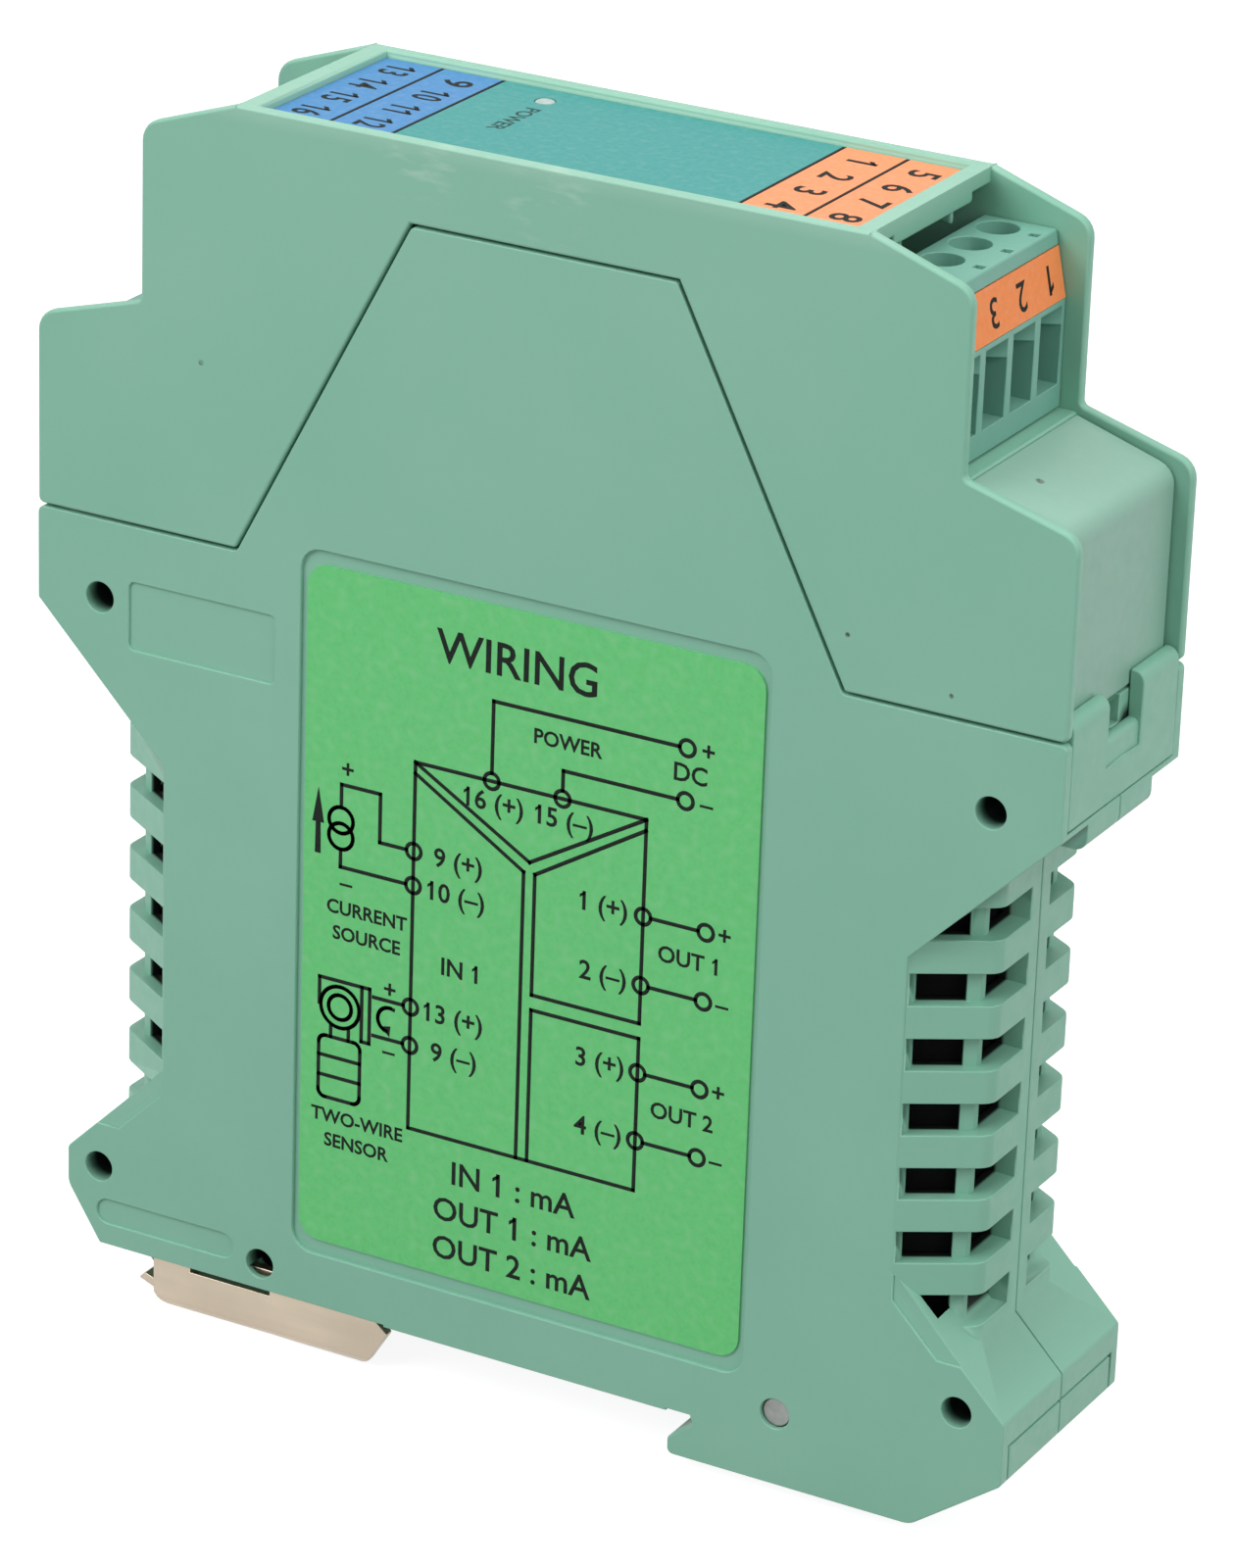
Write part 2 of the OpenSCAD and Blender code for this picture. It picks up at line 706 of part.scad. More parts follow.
// Sheet-metal rail latch: a folded channel with two pointed arms, a spring finger and a pull tongue
module foot_latch() {
    color(sheet_steel) {
        difference() {
            intersection() {
                along_x(latch_back - corner_r, latch_tip + corner_r) polygon(rounded([
                    [-flange_y, 0, fold_r], [flange_y, 0, fold_r], [flange_y, flange_top],
                    [flange_wall, flange_top], [flange_wall, latch_t, fold_r - latch_t],
                    [-flange_wall, latch_t, fold_r - latch_t], [-flange_wall, flange_top],
                    [-flange_y, flange_top]]));
                along_y(-far, far) polygon(rounded([
                    [latch_back, 0, corner_r], [latch_tip - tip_run, 0, corner_r],
                    [latch_tip, seat_z - tip_drop], [latch_tip - tip_drop, latch_side],
                    [flange_front, latch_side], [flange_front, flange_top], [guide_step, flange_top],
                    [guide_step, latch_side], [latch_back, latch_side]]));
            }
            block([lug_x - latch_clear, -far, seat_z - lug_window],
                [lug_x + lug_w + latch_clear + latch_travel, far, lug_top + latch_gap]);
            difference() {
                block([finger_x - arm_len, -flange_wall, -eps], [0, flange_wall, seat_z]);
                block([-far, -finger_w / 2 - finger_rim, -far],
                    [finger_x + finger_rim, finger_w / 2 + finger_rim, far]);
            }
        }
        block([finger_x - latch_t, -finger_w / 2, latch_t - eps],
            [finger_x, finger_w / 2, seat_z - finger_drop]);
        translate([latch_back, 0, 0]) along_y(-tongue_w / 2, tongue_w / 2) polygon(tongue_outline);
    }
}

// Compression spring between the foot and the latch's finger
module latch_spring() {
    sides = 6;
    turn_steps = 12;
    steps = turn_steps * spring_turns;
    from = spring_stop + spring_wire / 2 + fit;
    to = finger_x - latch_t - spring_wire / 2 - fit;
    radius = (spring_d - spring_wire) / 2;
    rings = [for (i = [0:steps]) let (a = 360 * i / turn_steps, x = from + (to - from) * i / steps)
        [for (k = [0:sides - 1]) let (b = 360 * k / sides, r = radius + spring_wire / 2 * cos(b))
            [x + spring_wire / 2 * sin(b), r * cos(a), spring_z + r * sin(a)]]];
    color(bright_steel) polyhedron(points = [for (ring = rings) each ring],
        faces = concat([[for (k = [0:sides - 1]) k]], [[for (k = [sides - 1:-1:0]) steps * sides + k]],
            [for (i = [0:steps - 1], k = [0:sides - 1])
                [i * sides + k, (i + 1) * sides + k,
                    (i + 1) * sides + (k + 1) % sides, i * sides + (k + 1) % sides]]));
}

// Steel pin that holds the two half shells together at the hook
module assembly_pin() {
    color(bright_steel)
        across([foot_hole_x, foot_hole_z], pin_hole_r - fit, -half_w + plate_d, half_w - plate_d);
}

// Hood that closes the empty terminal bay
cover_rise = 0.25;
cover_drop = 0.5;
module blank_cover() {
    face = end_x - snap_t - 2 * fit;
    low = lower_h + cover_rise;
    corner = lower_corner - cover_drop;
    back = upper_end - play;
    back_z = shelf_top - 2 * fit;
    outer = [[face, low], [face, corner, corner_r], [back, back_z]];
    inner = [[back, back_z - cover_wall], [face - cover_wall, corner - cover_wall, corner_r / 2],
        [face - cover_wall, low]];
    side = plug_w / 2 - fit;
    color(housing_green) {
        along_y(-side, side) polygon(rounded(concat(outer, inner)));
        for (y = [-side, side - cover_wall])
            along_y(y, y + cover_wall) polygon(rounded(concat(outer, [[back, low]])));
    }
}

// Plate that snaps into the end face, with its release notch
roll_in = 0.3;
roll_r = 0.6;
module snap_plate(high) {
    low = lower_h - snap_low;
    back = end_x - snap_t;
    notch_low = lower_h - notch_d;
    color(housing_green) difference() {
        along_y(-plug_w / 2, plug_w / 2) polygon(rounded([
            [back, low], [end_x, low], [end_x, lower_h + high, snap_t - snap_gap], [back, lower_h + high]]));
        along_y(-notch_w / 2, notch_w / 2) polygon(rounded([
            [end_x + eps, notch_low], [end_x + eps, body_h], [back - eps, body_h], [back - eps, roll_z],
            [end_x - roll_in, roll_z, roll_r], [end_x - roll_in, notch_low]]));
    }
}
module right_snap_plate() {
    snap_plate(snap_high);
}
module left_snap_plate() {
    mirror([1, 0, 0]) snap_plate(bay_gap - snap_gap);
}

// Sloped face of a plug that carries the marker strip
marker_angle = atan(marker_lean / marker_h);
module on_marker_slope() {
    translate([0, 0, marker_z]) rotate([0, -marker_angle, 0]) children();
}

// Sloped hood over a wire entry that leads the wire into its cage
module entry_funnel(half) {
    low = entry_high - entry_hood - eps;
    intersection() {
        along_y(-half, half) polygon([[eps, low], [eps, entry_high], [0, entry_high], [-entry_d, low]]);
        linear_extrude(plug_h) polygon([[eps, -half], [eps, half], [0, half], [-entry_d, half - hood_side],
            [-entry_d, hood_side - half], [0, -half]]);
    }
}

// Four-way terminal plug
module plug() {
    slot_w = pole_pitch - entry_rib;
    cavity = [cage_d + 2 * cage_clear, cage_w + 2 * cage_clear];
    color(housing_green) difference() {
        union() {
            along_y(-plug_w / 2, plug_w / 2) polygon(rounded([
                [-plug_d, 0], [0, 0], [0, marker_z], [-marker_lean, marker_z + marker_h],
                [-marker_lean - brow, plug_h, edge_r / 2], [-plug_d, plug_h, edge_r / 2]]));
            block([-plug_reach, nose_side - plug_w / 2, nose_low],
                [eps - plug_d, plug_w / 2 - nose_side, nose_high]);
        }
        on_marker_slope() block([-marker_t, -far, 0], [far, far, marker_h]);
        for (i = [0:poles - 1]) translate([0, pole_y(i), 0]) {
            block([-well_in, -slot_w / 2, entry_low], [eps, slot_w / 2, entry_high - entry_hood]);
            entry_funnel(slot_w / 2);
            block([-well_in - cavity.x / 2, -cavity.y / 2, cage_low - play],
                [cavity.x / 2 - well_in, cavity.y / 2, cage_roof]);
            translate([-well_in, 0, screw_seat - play]) cylinder(r = well_r, h = plug_h);
            translate([-well_in, 0, cage_low]) cylinder(r = shank_r + play, h = plug_h);
            block([-plug_reach - eps, -contact_w / 2 - fit, contact_z - fit],
                [-well_in, contact_w / 2 + fit, pin_z + pin_t / 2 + play]);
            block([-test_in - test_hole / 2, -test_hole / 2, plug_h - test_deep],
                [-test_in + test_hole / 2, test_hole / 2, far]);
        }
    }
}

// Marker strip on a plug's slope
module marker(tint) {
    color(tint) on_marker_slope() block([-marker_t, -plug_w / 2, fit], [0, plug_w / 2, marker_h - fit]);
}

// Contact bars of a plug, from the clamp cages to the pins
module contacts() {
    color(copper) for (i = [0:poles - 1])
        translate([0, pole_y(i), contact_z])
            block([-plug_reach, -contact_w / 2, 0], [-contact_front, contact_w / 2, contact_t]);
}

// Captive clamp screw with a driver slot
module terminal_screw(i) {
    color(bright_steel) translate([-well_in, pole_y(i), 0]) difference() {
        union() {
            translate([0, 0, screw_seat]) cylinder(r = screw_head_r, h = screw_head_h);
            translate([0, 0, shank_end]) cylinder(r = shank_r, h = screw_seat + eps - shank_end);
        }
        translate([0, 0, screw_seat + screw_head_h])
            block([-far, -slot_t / 2, -slot_d], [far, slot_t / 2, far]);
    }
}

// Clamp cage that rises on its screw and grips the wire under the contact bar
module clamp_cage(i) {
    color(bright_steel) translate([-well_in, pole_y(i), cage_low]) difference() {
        block([-cage_d / 2, -cage_w / 2, 0], [cage_d / 2, cage_w / 2, cage_h]);
        block([-far, cage_wall - cage_w / 2, cage_floor], [far, cage_w / 2 - cage_wall, cage_h - cage_lid]);
        translate([0, 0, cage_floor]) cylinder(r = shank_r + thread_clear, h = far);
    }
}

// Socket on the board side that takes a plug's nose
module header() {
    outer_y = plug_w / 2 - fit;
    color(housing_green) difference() {
        block([-header_end, -outer_y, nose_low - header_t],
            [-plug_d - header_gap, outer_y, nose_high + header_t]);
        block([-plug_reach - play, nose_side - play - plug_w / 2, nose_low - play],
            [far, plug_w / 2 - nose_side + play, nose_high + play]);
        for (i = [0:poles - 1]) translate([-far, pole_y(i), pin_z])
            block([0, -pin_t / 2 - fit, -pin_t / 2 - fit], [far, pin_t / 2 + fit, pin_t / 2 + fit]);
    }
}

// Right-angled pins from a header to the board
module header_pins() {
    color(copper) for (i = [0:poles - 1]) translate([0, 0, pin_z]) {
        block([-tail_x(i) - pin_t / 2, pole_y(i) - pin_t / 2, -pin_t / 2],
            [-plug_d - pin_front, pole_y(i) + pin_t / 2, pin_t / 2]);
        block([-tail_x(i) - pin_t / 2, pole_y(i), -pin_t / 2],
            [-tail_x(i) + pin_t / 2, board_back - fit, pin_t / 2]);
    }
}

// Upright circuit board with the holes for the header pins
module circuit_board() {
    shoulder = lower_h - shell_wall - board_clear;
    above = lower_h + board_clear;
    step = bay_low(0) + nose_high;
    right = [[board_half, board_low], [board_half, shoulder], [neck - board_clear, shoulder],
        [neck - board_clear, above], [board_mid, above], [board_mid, step], [board_top, step],
        [board_top, board_high]];
    left = [for (i = [len(right) - 1:-1:0]) [-right[i].x, right[i].y]];
    color(board_green) difference() {
        along_y(board_face, board_back) polygon(concat(right, left));
        for (bay = bays) at_bay(bay) for (i = [0:poles - 1]) translate([-tail_x(i), 0, pin_z])
            block([-pin_t / 2 - fit, 0, -pin_t / 2 - fit], [pin_t / 2 + fit, far, pin_t / 2 + fit]);
    }
}

// Isolating transformer: a ferrite frame round a wound coil
core_x = -14;
core_z = 56;
core_w = 18;
core_h = 16;
core_d = 9;
leg_t = 3.2;
leg_gap = 0.3;
bobbin_t = 1.2;
coil_bulge = 2.4;
core_back = board_face - bobbin_t;
core_front = core_back - core_d;
module transformer_core() {
    color(ferrite_grey) translate([core_x, 0, core_z]) difference() {
        block([-core_w / 2, core_front, -core_h / 2], [core_w / 2, core_back, core_h / 2]);
        for (x = [-core_w / 4, core_w / 4]) translate([x, 0, 0])
            block([-leg_t / 2 - leg_gap, -far, leg_t - core_h / 2],
                [leg_t / 2 + leg_gap, far, core_h / 2 - leg_t]);
    }
}
module transformer_coil() {
    inner = core_w / 4 - leg_t / 2 - leg_gap + fit;
    outer = core_w / 4 + leg_t / 2 + leg_gap - fit;
    height = core_h / 2 - leg_t - fit;
    color(copper) translate([core_x, 0, core_z]) difference() {
        block([-outer, core_front - coil_bulge, -height], [outer, board_face, height]);
        block([-inner - 2 * fit, core_front - fit, -far], [inner + 2 * fit, core_back + fit, far]);
    }
}

// Reservoir capacitors and the isolating chips on the board, the chips as [x, z, length, height]
cap_x = 18;
cap_heights = [24, 34, 44];
chip_t = 2.6;
chips = [[-20, 18, 9, 6], [-6, 18, 9, 6], [-20, 32, 6.5, 9], [-6, 32, 6.5, 9], [8, 64, 10, 7],
    [2, 84, 7, 10]];
module reservoir_capacitors() {
    color(black_plastic) for (z = cap_heights) across([cap_x, z], cap_r, board_face - cap_len, board_face);
}
module isolator_chips() {
    color(black_plastic) for (c = chips)
        block([c[0] - c[2] / 2, board_face - chip_t, c[1] - c[3] / 2],
            [c[0] + c[2] / 2, board_face, c[1] + c[3] / 2]);
}

near_shell();
far_shell();
upper_housing();
front_label();
power_light();
wiring_label();
foot_latch();
latch_spring();
assembly_pin();
blank_cover();
right_snap_plate();
left_snap_plate();
circuit_board();
transformer_core();
transformer_coil();
reservoir_capacitors();
isolator_chips();
power_led();
at_bay(right_bay) plug();  // right_plug
at_bay(left_upper_bay) plug();  // left_upper_plug
at_bay(left_lower_bay) plug();  // left_lower_plug
at_bay(right_bay) marker(marker_orange);  // right_marker
at_bay(left_upper_bay) marker(marker_blue);  // left_upper_marker
at_bay(left_lower_bay) marker(marker_blue);  // left_lower_marker
at_bay(right_bay) contacts();  // right_contacts
at_bay(left_upper_bay) contacts();  // left_upper_contacts
at_bay(left_lower_bay) contacts();  // left_lower_contacts
at_bay(right_bay) header();  // right_header
at_bay(left_upper_bay) header();  // left_upper_header
at_bay(left_lower_bay) header();  // left_lower_header
at_bay(right_bay) header_pins();  // right_header_pins
at_bay(left_upper_bay) header_pins();  // left_upper_header_pins
at_bay(left_lower_bay) header_pins();  // left_lower_header_pins
for (bay = bays, i = [0:poles - 1])
    at_bay(bay) terminal_screw(i);
for (bay = bays, i = [0:poles - 1])
    at_bay(bay) clamp_cage(i);
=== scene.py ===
import bmesh
import bpy
import json
import math
from mathutils import Matrix, Vector

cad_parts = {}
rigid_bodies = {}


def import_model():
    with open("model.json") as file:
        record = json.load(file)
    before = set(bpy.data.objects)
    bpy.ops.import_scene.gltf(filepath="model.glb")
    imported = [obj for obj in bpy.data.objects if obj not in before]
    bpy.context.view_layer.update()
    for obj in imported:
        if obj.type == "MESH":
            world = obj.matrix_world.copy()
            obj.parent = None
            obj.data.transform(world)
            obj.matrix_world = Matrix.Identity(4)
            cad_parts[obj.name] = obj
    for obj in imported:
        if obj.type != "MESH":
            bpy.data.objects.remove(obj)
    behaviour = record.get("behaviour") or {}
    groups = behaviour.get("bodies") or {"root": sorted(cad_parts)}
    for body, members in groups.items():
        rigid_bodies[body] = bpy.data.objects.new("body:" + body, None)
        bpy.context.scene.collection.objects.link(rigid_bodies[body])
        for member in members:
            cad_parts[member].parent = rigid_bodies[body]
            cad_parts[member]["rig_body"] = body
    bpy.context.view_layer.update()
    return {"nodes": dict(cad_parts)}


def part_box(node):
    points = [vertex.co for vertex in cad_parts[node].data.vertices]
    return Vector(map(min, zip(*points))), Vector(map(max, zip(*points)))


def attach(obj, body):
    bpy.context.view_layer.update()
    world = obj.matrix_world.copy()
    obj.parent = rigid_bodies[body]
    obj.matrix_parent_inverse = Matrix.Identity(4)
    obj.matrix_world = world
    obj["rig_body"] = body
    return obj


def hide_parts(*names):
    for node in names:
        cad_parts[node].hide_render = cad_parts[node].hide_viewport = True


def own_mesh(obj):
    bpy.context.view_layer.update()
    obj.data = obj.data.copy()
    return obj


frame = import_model()
nodes = frame["nodes"]
mm = 0.001
print("frame loaded with", len(nodes), "nodes")


# node helpers, for materials and geometry
def addNode(tree, kind, inputs=None, **settings):
    node = tree.nodes.new(kind)
    for key, value in settings.items():
        setattr(node, key, value)
    for key, value in (inputs or {}).items():
        node.inputs[key].default_value = value
    return node


def linkAll(tree, *links):  # each link is a node, its output, the next node and its input
    for source, output, target, entry in links:
        tree.links.new(source.outputs[output], target.inputs[entry])


def feed(socket, value):  # a socket takes a link or a plain value
    if isinstance(value, bpy.types.NodeSocket):
        socket.id_data.links.new(value, socket)
    else:
        socket.default_value = value


def plainMaterial(name, metallic=0.0, specular=0.5):
    material = bpy.data.materials.new(name)
    material.use_nodes = True
    shader = material.node_tree.nodes["Principled BSDF"]
    shader.inputs["Metallic"].default_value = metallic
    shader.inputs["Specular IOR Level"].default_value = specular
    place = addNode(material.node_tree, "ShaderNodeTexCoord").outputs["Object"]
    return material, shader, place


def splitOn(place):  # the three parts of a place
    split = addNode(place.id_data, "ShaderNodeSeparateXYZ")
    feed(split.inputs[0], place)
    return split.outputs["X"], split.outputs["Y"], split.outputs["Z"]


def noiseOn(place, scale, detail, stretch=(1, 1, 1)):
    mapping = addNode(place.id_data, "ShaderNodeMapping", {"Scale": stretch})
    noise = addNode(place.id_data, "ShaderNodeTexNoise", {"Scale": scale, "Detail": detail})
    feed(mapping.inputs["Vector"], place)
    feed(noise.inputs["Vector"], mapping.outputs["Vector"])
    return noise.outputs["Fac"]


def rampOn(value, stops, interpolation="LINEAR"):
    ramp = addNode(value.id_data, "ShaderNodeValToRGB")
    ramp.color_ramp.interpolation = interpolation
    elements = ramp.color_ramp.elements
    elements.remove(elements[1])
    for _ in stops[1:]:
        elements.new(1.0)
    for element, (position, colour) in zip(elements, stops):
        element.position = position
        element.color = (*colour, 1)
    feed(ramp.inputs["Fac"], value)
    return ramp.outputs["Color"]


def rangeOn(value, fromLow, fromHigh, toLow, toHigh):
    ends = {"From Min": fromLow, "From Max": fromHigh, "To Min": toLow, "To Max": toHigh}
    node = addNode(value.id_data, "ShaderNodeMapRange", ends)
    feed(node.inputs["Value"], value)
    return node.outputs["Result"]


def mixOn(factor, first, second, blend="MIX"):
    node = addNode(first.id_data, "ShaderNodeMix", data_type="RGBA", blend_type=blend)
    for number, value in ((0, factor), (6, first), (7, second)):
        feed(node.inputs[number], (*value, 1) if isinstance(value, tuple) else value)
    return node.outputs[2]


def mathOn(operation, first, second=0):
    node = addNode(first.id_data, "ShaderNodeMath", operation=operation)
    feed(node.inputs[0], first)
    feed(node.inputs[1], second)
    return node.outputs[0]


def finishOn(shader, colour, roughness, bumps):  # a bump is its height, strength and depth in metres
    feed(shader.inputs["Base Color"], colour)
    feed(shader.inputs["Roughness"], roughness)
    normal = None
    for height, strength, depth in bumps:
        bump = addNode(shader.id_data, "ShaderNodeBump", {"Strength": strength, "Distance": depth})
        feed(bump.inputs["Height"], height)
        if normal:
            feed(bump.inputs["Normal"], normal)
        normal = bump.outputs["Normal"]
    feed(shader.inputs["Normal"], normal)


def spotOn(place, centre, radius, core=0.5):  # 1 inside the core of a round mark, 0 outside its radius
    distance = addNode(place.id_data, "ShaderNodeVectorMath", operation="DISTANCE")
    feed(distance.inputs[0], place)
    distance.inputs[1].default_value = [value * mm for value in centre]
    return rangeOn(distance.outputs["Value"], radius * mm, radius * mm * core, 0, 1)


def rgb(red, green, blue):  # screen colour, 0 to 255, as the shader's linear colour
    shares = [channel / 255 for channel in (red, green, blue)]
    return tuple(c / 12.92 if c < 0.04045 else ((c + 0.055) / 1.055) ** 2.4 for c in shares)


noiseSpan = (0.3, 0.7)  # nearly all of a noise's values lie between these

# finish of the housing's mouldings: a noise is its scale and detail, a bump its strength and depth
housingFinish = {
    "colour": rgb(131, 186, 163), "pale": rgb(134, 188, 166), "deep": rgb(128, 184, 161),
    "cover": rgb(139, 182, 164), "plug": rgb(115, 171, 154), "tintShare": (0.9, 1.0),
    "clouds": (55, 5), "grain": (2600, 2), "pits": (900, 4), "roughness": (0.40, 0.54),
    "fleckSpan": (0.66, 0.74), "fleckShare": 0.10,
    "grainBump": (0.12, 0.00004), "pitBump": (0.10, 0.00008), "cloudBump": (0.02, 0.0001),
}
# wear of the upper housing and the cover: dark specks and pale scuffs, and a painted highlight along the top
# rim, places in mm
housingMarksAndHighlight = {
    "speck": rgb(52, 58, 56), "scuff": rgb(196, 222, 208), "rim": rgb(168, 210, 190),
    "specks": [((-32.9, -11.25, 91.3), 0.30), ((29.4, -11.25, 80.3), 0.28), ((39.0, -11.25, 77.1), 0.26),
               ((42.2, -3.7, 93.9), 0.45)],
    "speckRange": (0.3, 0.5, 0.4, 1), "scuffs": [(-11.7, -11.25, 113.6), (0.4, -11.25, 112.2)],
    "scuffRadius": 5.0, "streaks": (800, 4, (0.3, 1, 1)), "scuffSpan": (0.52, 0.72), "scuffShare": 0.42,
    "rimHeights": (112.9, 114.4), "rimShare": 0.4, "rimRange": (0.3, 0.6, 0.7, 1),
}
# painted shade in the hollow behind the vents, in mm: bounds along, across and up, and the chamfer's slope
# and distance
paintedVentHollow = {
    "along": 41.15, "across": 9.7, "low": 16.0, "high": 64.0, "slope": (0.5369, 0.8437), "chamfer": 27.88,
    "fade": 0.3, "colour": rgb(10, 13, 13),
}
# painted shade deep in the assembly holes and painted shadow in the catch notches, in mm: places along and
# up, and where the dark starts and ends across
paintedHoleSpots = {
    "places": [(43.1, 67.8), (43.1, 13.0), (26.0, 7.9)], "radius": 1.55, "core": 0.97,
    "start": 10.9, "end": 9.4, "colour": rgb(18, 34, 30),
    "notch": (48.1, 3.0, 72.3), "notchRadius": 1.7, "notchCore": 0.4,
}


def paintedVentShade(place):  # 1 where shade is painted on the shells' inner walls behind the vents, 0 on what is outside
    hollow = paintedVentHollow
    x, y, height = splitOn(place)
    along, across = mathOn("ABSOLUTE", x), mathOn("ABSOLUTE", y)
    lengthwise = mathOn("MULTIPLY", along, hollow["slope"][0])
    crosswise = mathOn("MULTIPLY", across, hollow["slope"][1])
    chamfer = mathOn("ADD", lengthwise, crosswise)
    depths = [(along, hollow["along"], -1), (across, hollow["across"], -1), (chamfer, hollow["chamfer"], -1),
              (height, hollow["low"], 1), (height, hollow["high"], -1)]
    shade = None
    for value, limit, way in depths:
        part = rangeOn(value, limit * mm, (limit + way * hollow["fade"]) * mm, 0, 1)
        shade = part if shade is None else mathOn("MINIMUM", shade, part)
    return shade


def paintedHoleShade(place):  # 1 where shade is painted deep inside the assembly holes and shadow in the catch notches, 0 elsewhere
    holes = paintedHoleSpots
    x, y, height = splitOn(place)
    along = mathOn("ABSOLUTE", x)
    sideView, mirrored = (addNode(place.id_data, "ShaderNodeCombineXYZ") for _ in range(2))
    for node in (sideView, mirrored):
        feed(node.inputs["X"], along)
        feed(node.inputs["Z"], height)
    feed(mirrored.inputs["Y"], y)
    inside = None
    for holeX, holeZ in holes["places"]:
        spot = spotOn(sideView.outputs[0], (holeX, 0, holeZ), holes["radius"], holes["core"])
        inside = spot if inside is None else mathOn("MAXIMUM", inside, spot)
    deep = rangeOn(mathOn("ABSOLUTE", y), holes["start"] * mm, holes["end"] * mm, 0, 1)
    notch = spotOn(mirrored.outputs[0], holes["notch"], holes["notchRadius"], holes["notchCore"])
    return mathOn("MAXIMUM", mathOn("MULTIPLY", inside, deep), notch)


def markedAndHighlightedColour(place, colour, grain, clouds):
    wear = housingMarksAndHighlight
    for centre, radius in wear["specks"]:
        ragged = rangeOn(grain, *wear["speckRange"])
        spot = mathOn("MULTIPLY", spotOn(place, centre, radius), ragged)
        colour = mixOn(spot, colour, wear["speck"])
    for centre in wear["scuffs"]:
        rub = spotOn(place, centre, wear["scuffRadius"])
        streaks = noiseOn(place, *wear["streaks"])
        scuff = mathOn("MULTIPLY", rub, rangeOn(streaks, *wear["scuffSpan"], 0, wear["scuffShare"]))
        colour = mixOn(scuff, colour, wear["scuff"])
    # painted highlight: paler towards the top rim, made uneven by the clouds
    low, high = wear["rimHeights"]
    rimHighlight = rangeOn(splitOn(place)[2], low * mm, high * mm, 0, wear["rimShare"])
    uneven = rangeOn(clouds, *wear["rimRange"])
    return mixOn(mathOn("MULTIPLY", rimHighlight, uneven), colour, wear["rim"])


def housingMaterial(name, worn=False, shadedHollows=False, tint=None):
    look = housingFinish
    material, shader, place = plainMaterial(name)
    clouds, grain, pits = (noiseOn(place, *look[key]) for key in ("clouds", "grain", "pits"))
    low, high = noiseSpan
    colour = rampOn(clouds, [(low, look["deep"]), (0.5, look["colour"]), (high, look["pale"])])
    if tint:
        colour = mixOn(rangeOn(clouds, *noiseSpan, *look["tintShare"]), colour, tint)
    flecks = rangeOn(pits, *look["fleckSpan"], 0, look["fleckShare"])
    colour = mixOn(flecks, colour, look["pale"])
    if worn:
        colour = markedAndHighlightedColour(place, colour, grain, clouds)
    # painted shade: the inner walls behind the vents are coloured near black
    if shadedHollows:
        colour = mixOn(paintedVentShade(place), colour, paintedVentHollow["colour"])
        # painted shade deep in the assembly holes and painted shadow in the catch notch
        colour = mixOn(paintedHoleShade(place), colour, paintedHoleSpots["colour"])
    finishOn(shader, colour, rangeOn(pits, *noiseSpan, *look["roughness"]),
             [(grain, *look["grainBump"]), (pits, *look["pitBump"]), (clouds, *look["cloudBump"])])
    return material


housingPlain = housingMaterial("housingPlastic")
housingShadedHollows = housingMaterial("housingPlasticShadedHollows", shadedHollows=True)
housingMarked = housingMaterial("housingPlasticMarked", worn=True)
housingCover = housingMaterial("housingPlasticCover", worn=True, tint=housingFinish["cover"])
housingPlug = housingMaterial("housingPlasticPlug", tint=housingFinish["plug"])

# printed films: colours and, in mm along the part, where they change and where lines are printed
frontFilm = {
    "blue": rgb(80, 142, 196), "teal": rgb(72, 155, 151), "orange": rgb(254, 156, 108),
    "marker": rgb(252, 149, 88), "blueEnd": -16.2, "orangeStart": 16.4, "lines": (-22.2, -16.2, 16.4, 22.3),
    "lineWidth": 0.34, "halfSpan": 50,
}
filmFinish = {
    "specular": 0.2, "grainDetail": 3, "weaveDetail": 2, "weaveShare": 0.5, "tint": (40, 3),
    "shade": (0.84, 0.86, 0.84), "thread": (0.9, 0.95, 0.9), "shadeSpan": (0.4, 0.7),
    "threadSpan": (0.5, 0.75), "grainShare": 6, "tintShare": 0.5, "roughness": (-0.06, 0.08),
    "grainBump": (0.10, 0.00003), "weaveBump": (0.06, 0.00005),
}


def filmMaterial(name, colours, roughness=0.5, grainScale=2600, mottle=0.06):
    look = filmFinish
    material, shader, place = plainMaterial(name, specular=look["specular"])
    grain = noiseOn(place, grainScale, look["grainDetail"])
    weave = noiseOn(place, grainScale * look["weaveShare"], look["weaveDetail"])
    tint = noiseOn(place, *look["tint"])
    reach = frontFilm["halfSpan"] * mm
    share = rangeOn(splitOn(place)[0], -reach, reach, 0, 1)
    colour = rampOn(share, colours, "CONSTANT")
    dark = mixOn(1.0, colour, look["shade"], "MULTIPLY")
    shaded = rangeOn(grain, *look["shadeSpan"], 0, mottle * look["grainShare"])
    threads = rangeOn(weave, *look["threadSpan"], 0, mottle)
    tinted = rangeOn(tint, *look["shadeSpan"], 0, mottle * look["tintShare"])
    colour = mixOn(shaded, colour, dark)
    colour = mixOn(threads, colour, look["thread"])
    colour = mixOn(tinted, colour, dark)
    smooth, rough = (roughness + change for change in look["roughness"])
    finishOn(shader, colour, rangeOn(grain, *noiseSpan, smooth, rough),
             [(grain, *look["grainBump"]), (weave, *look["weaveBump"])])
    return material


def sharePlace(x):  # place along the part in mm as the ramp's position
    return (x + frontFilm["halfSpan"]) / (2 * frontFilm["halfSpan"])


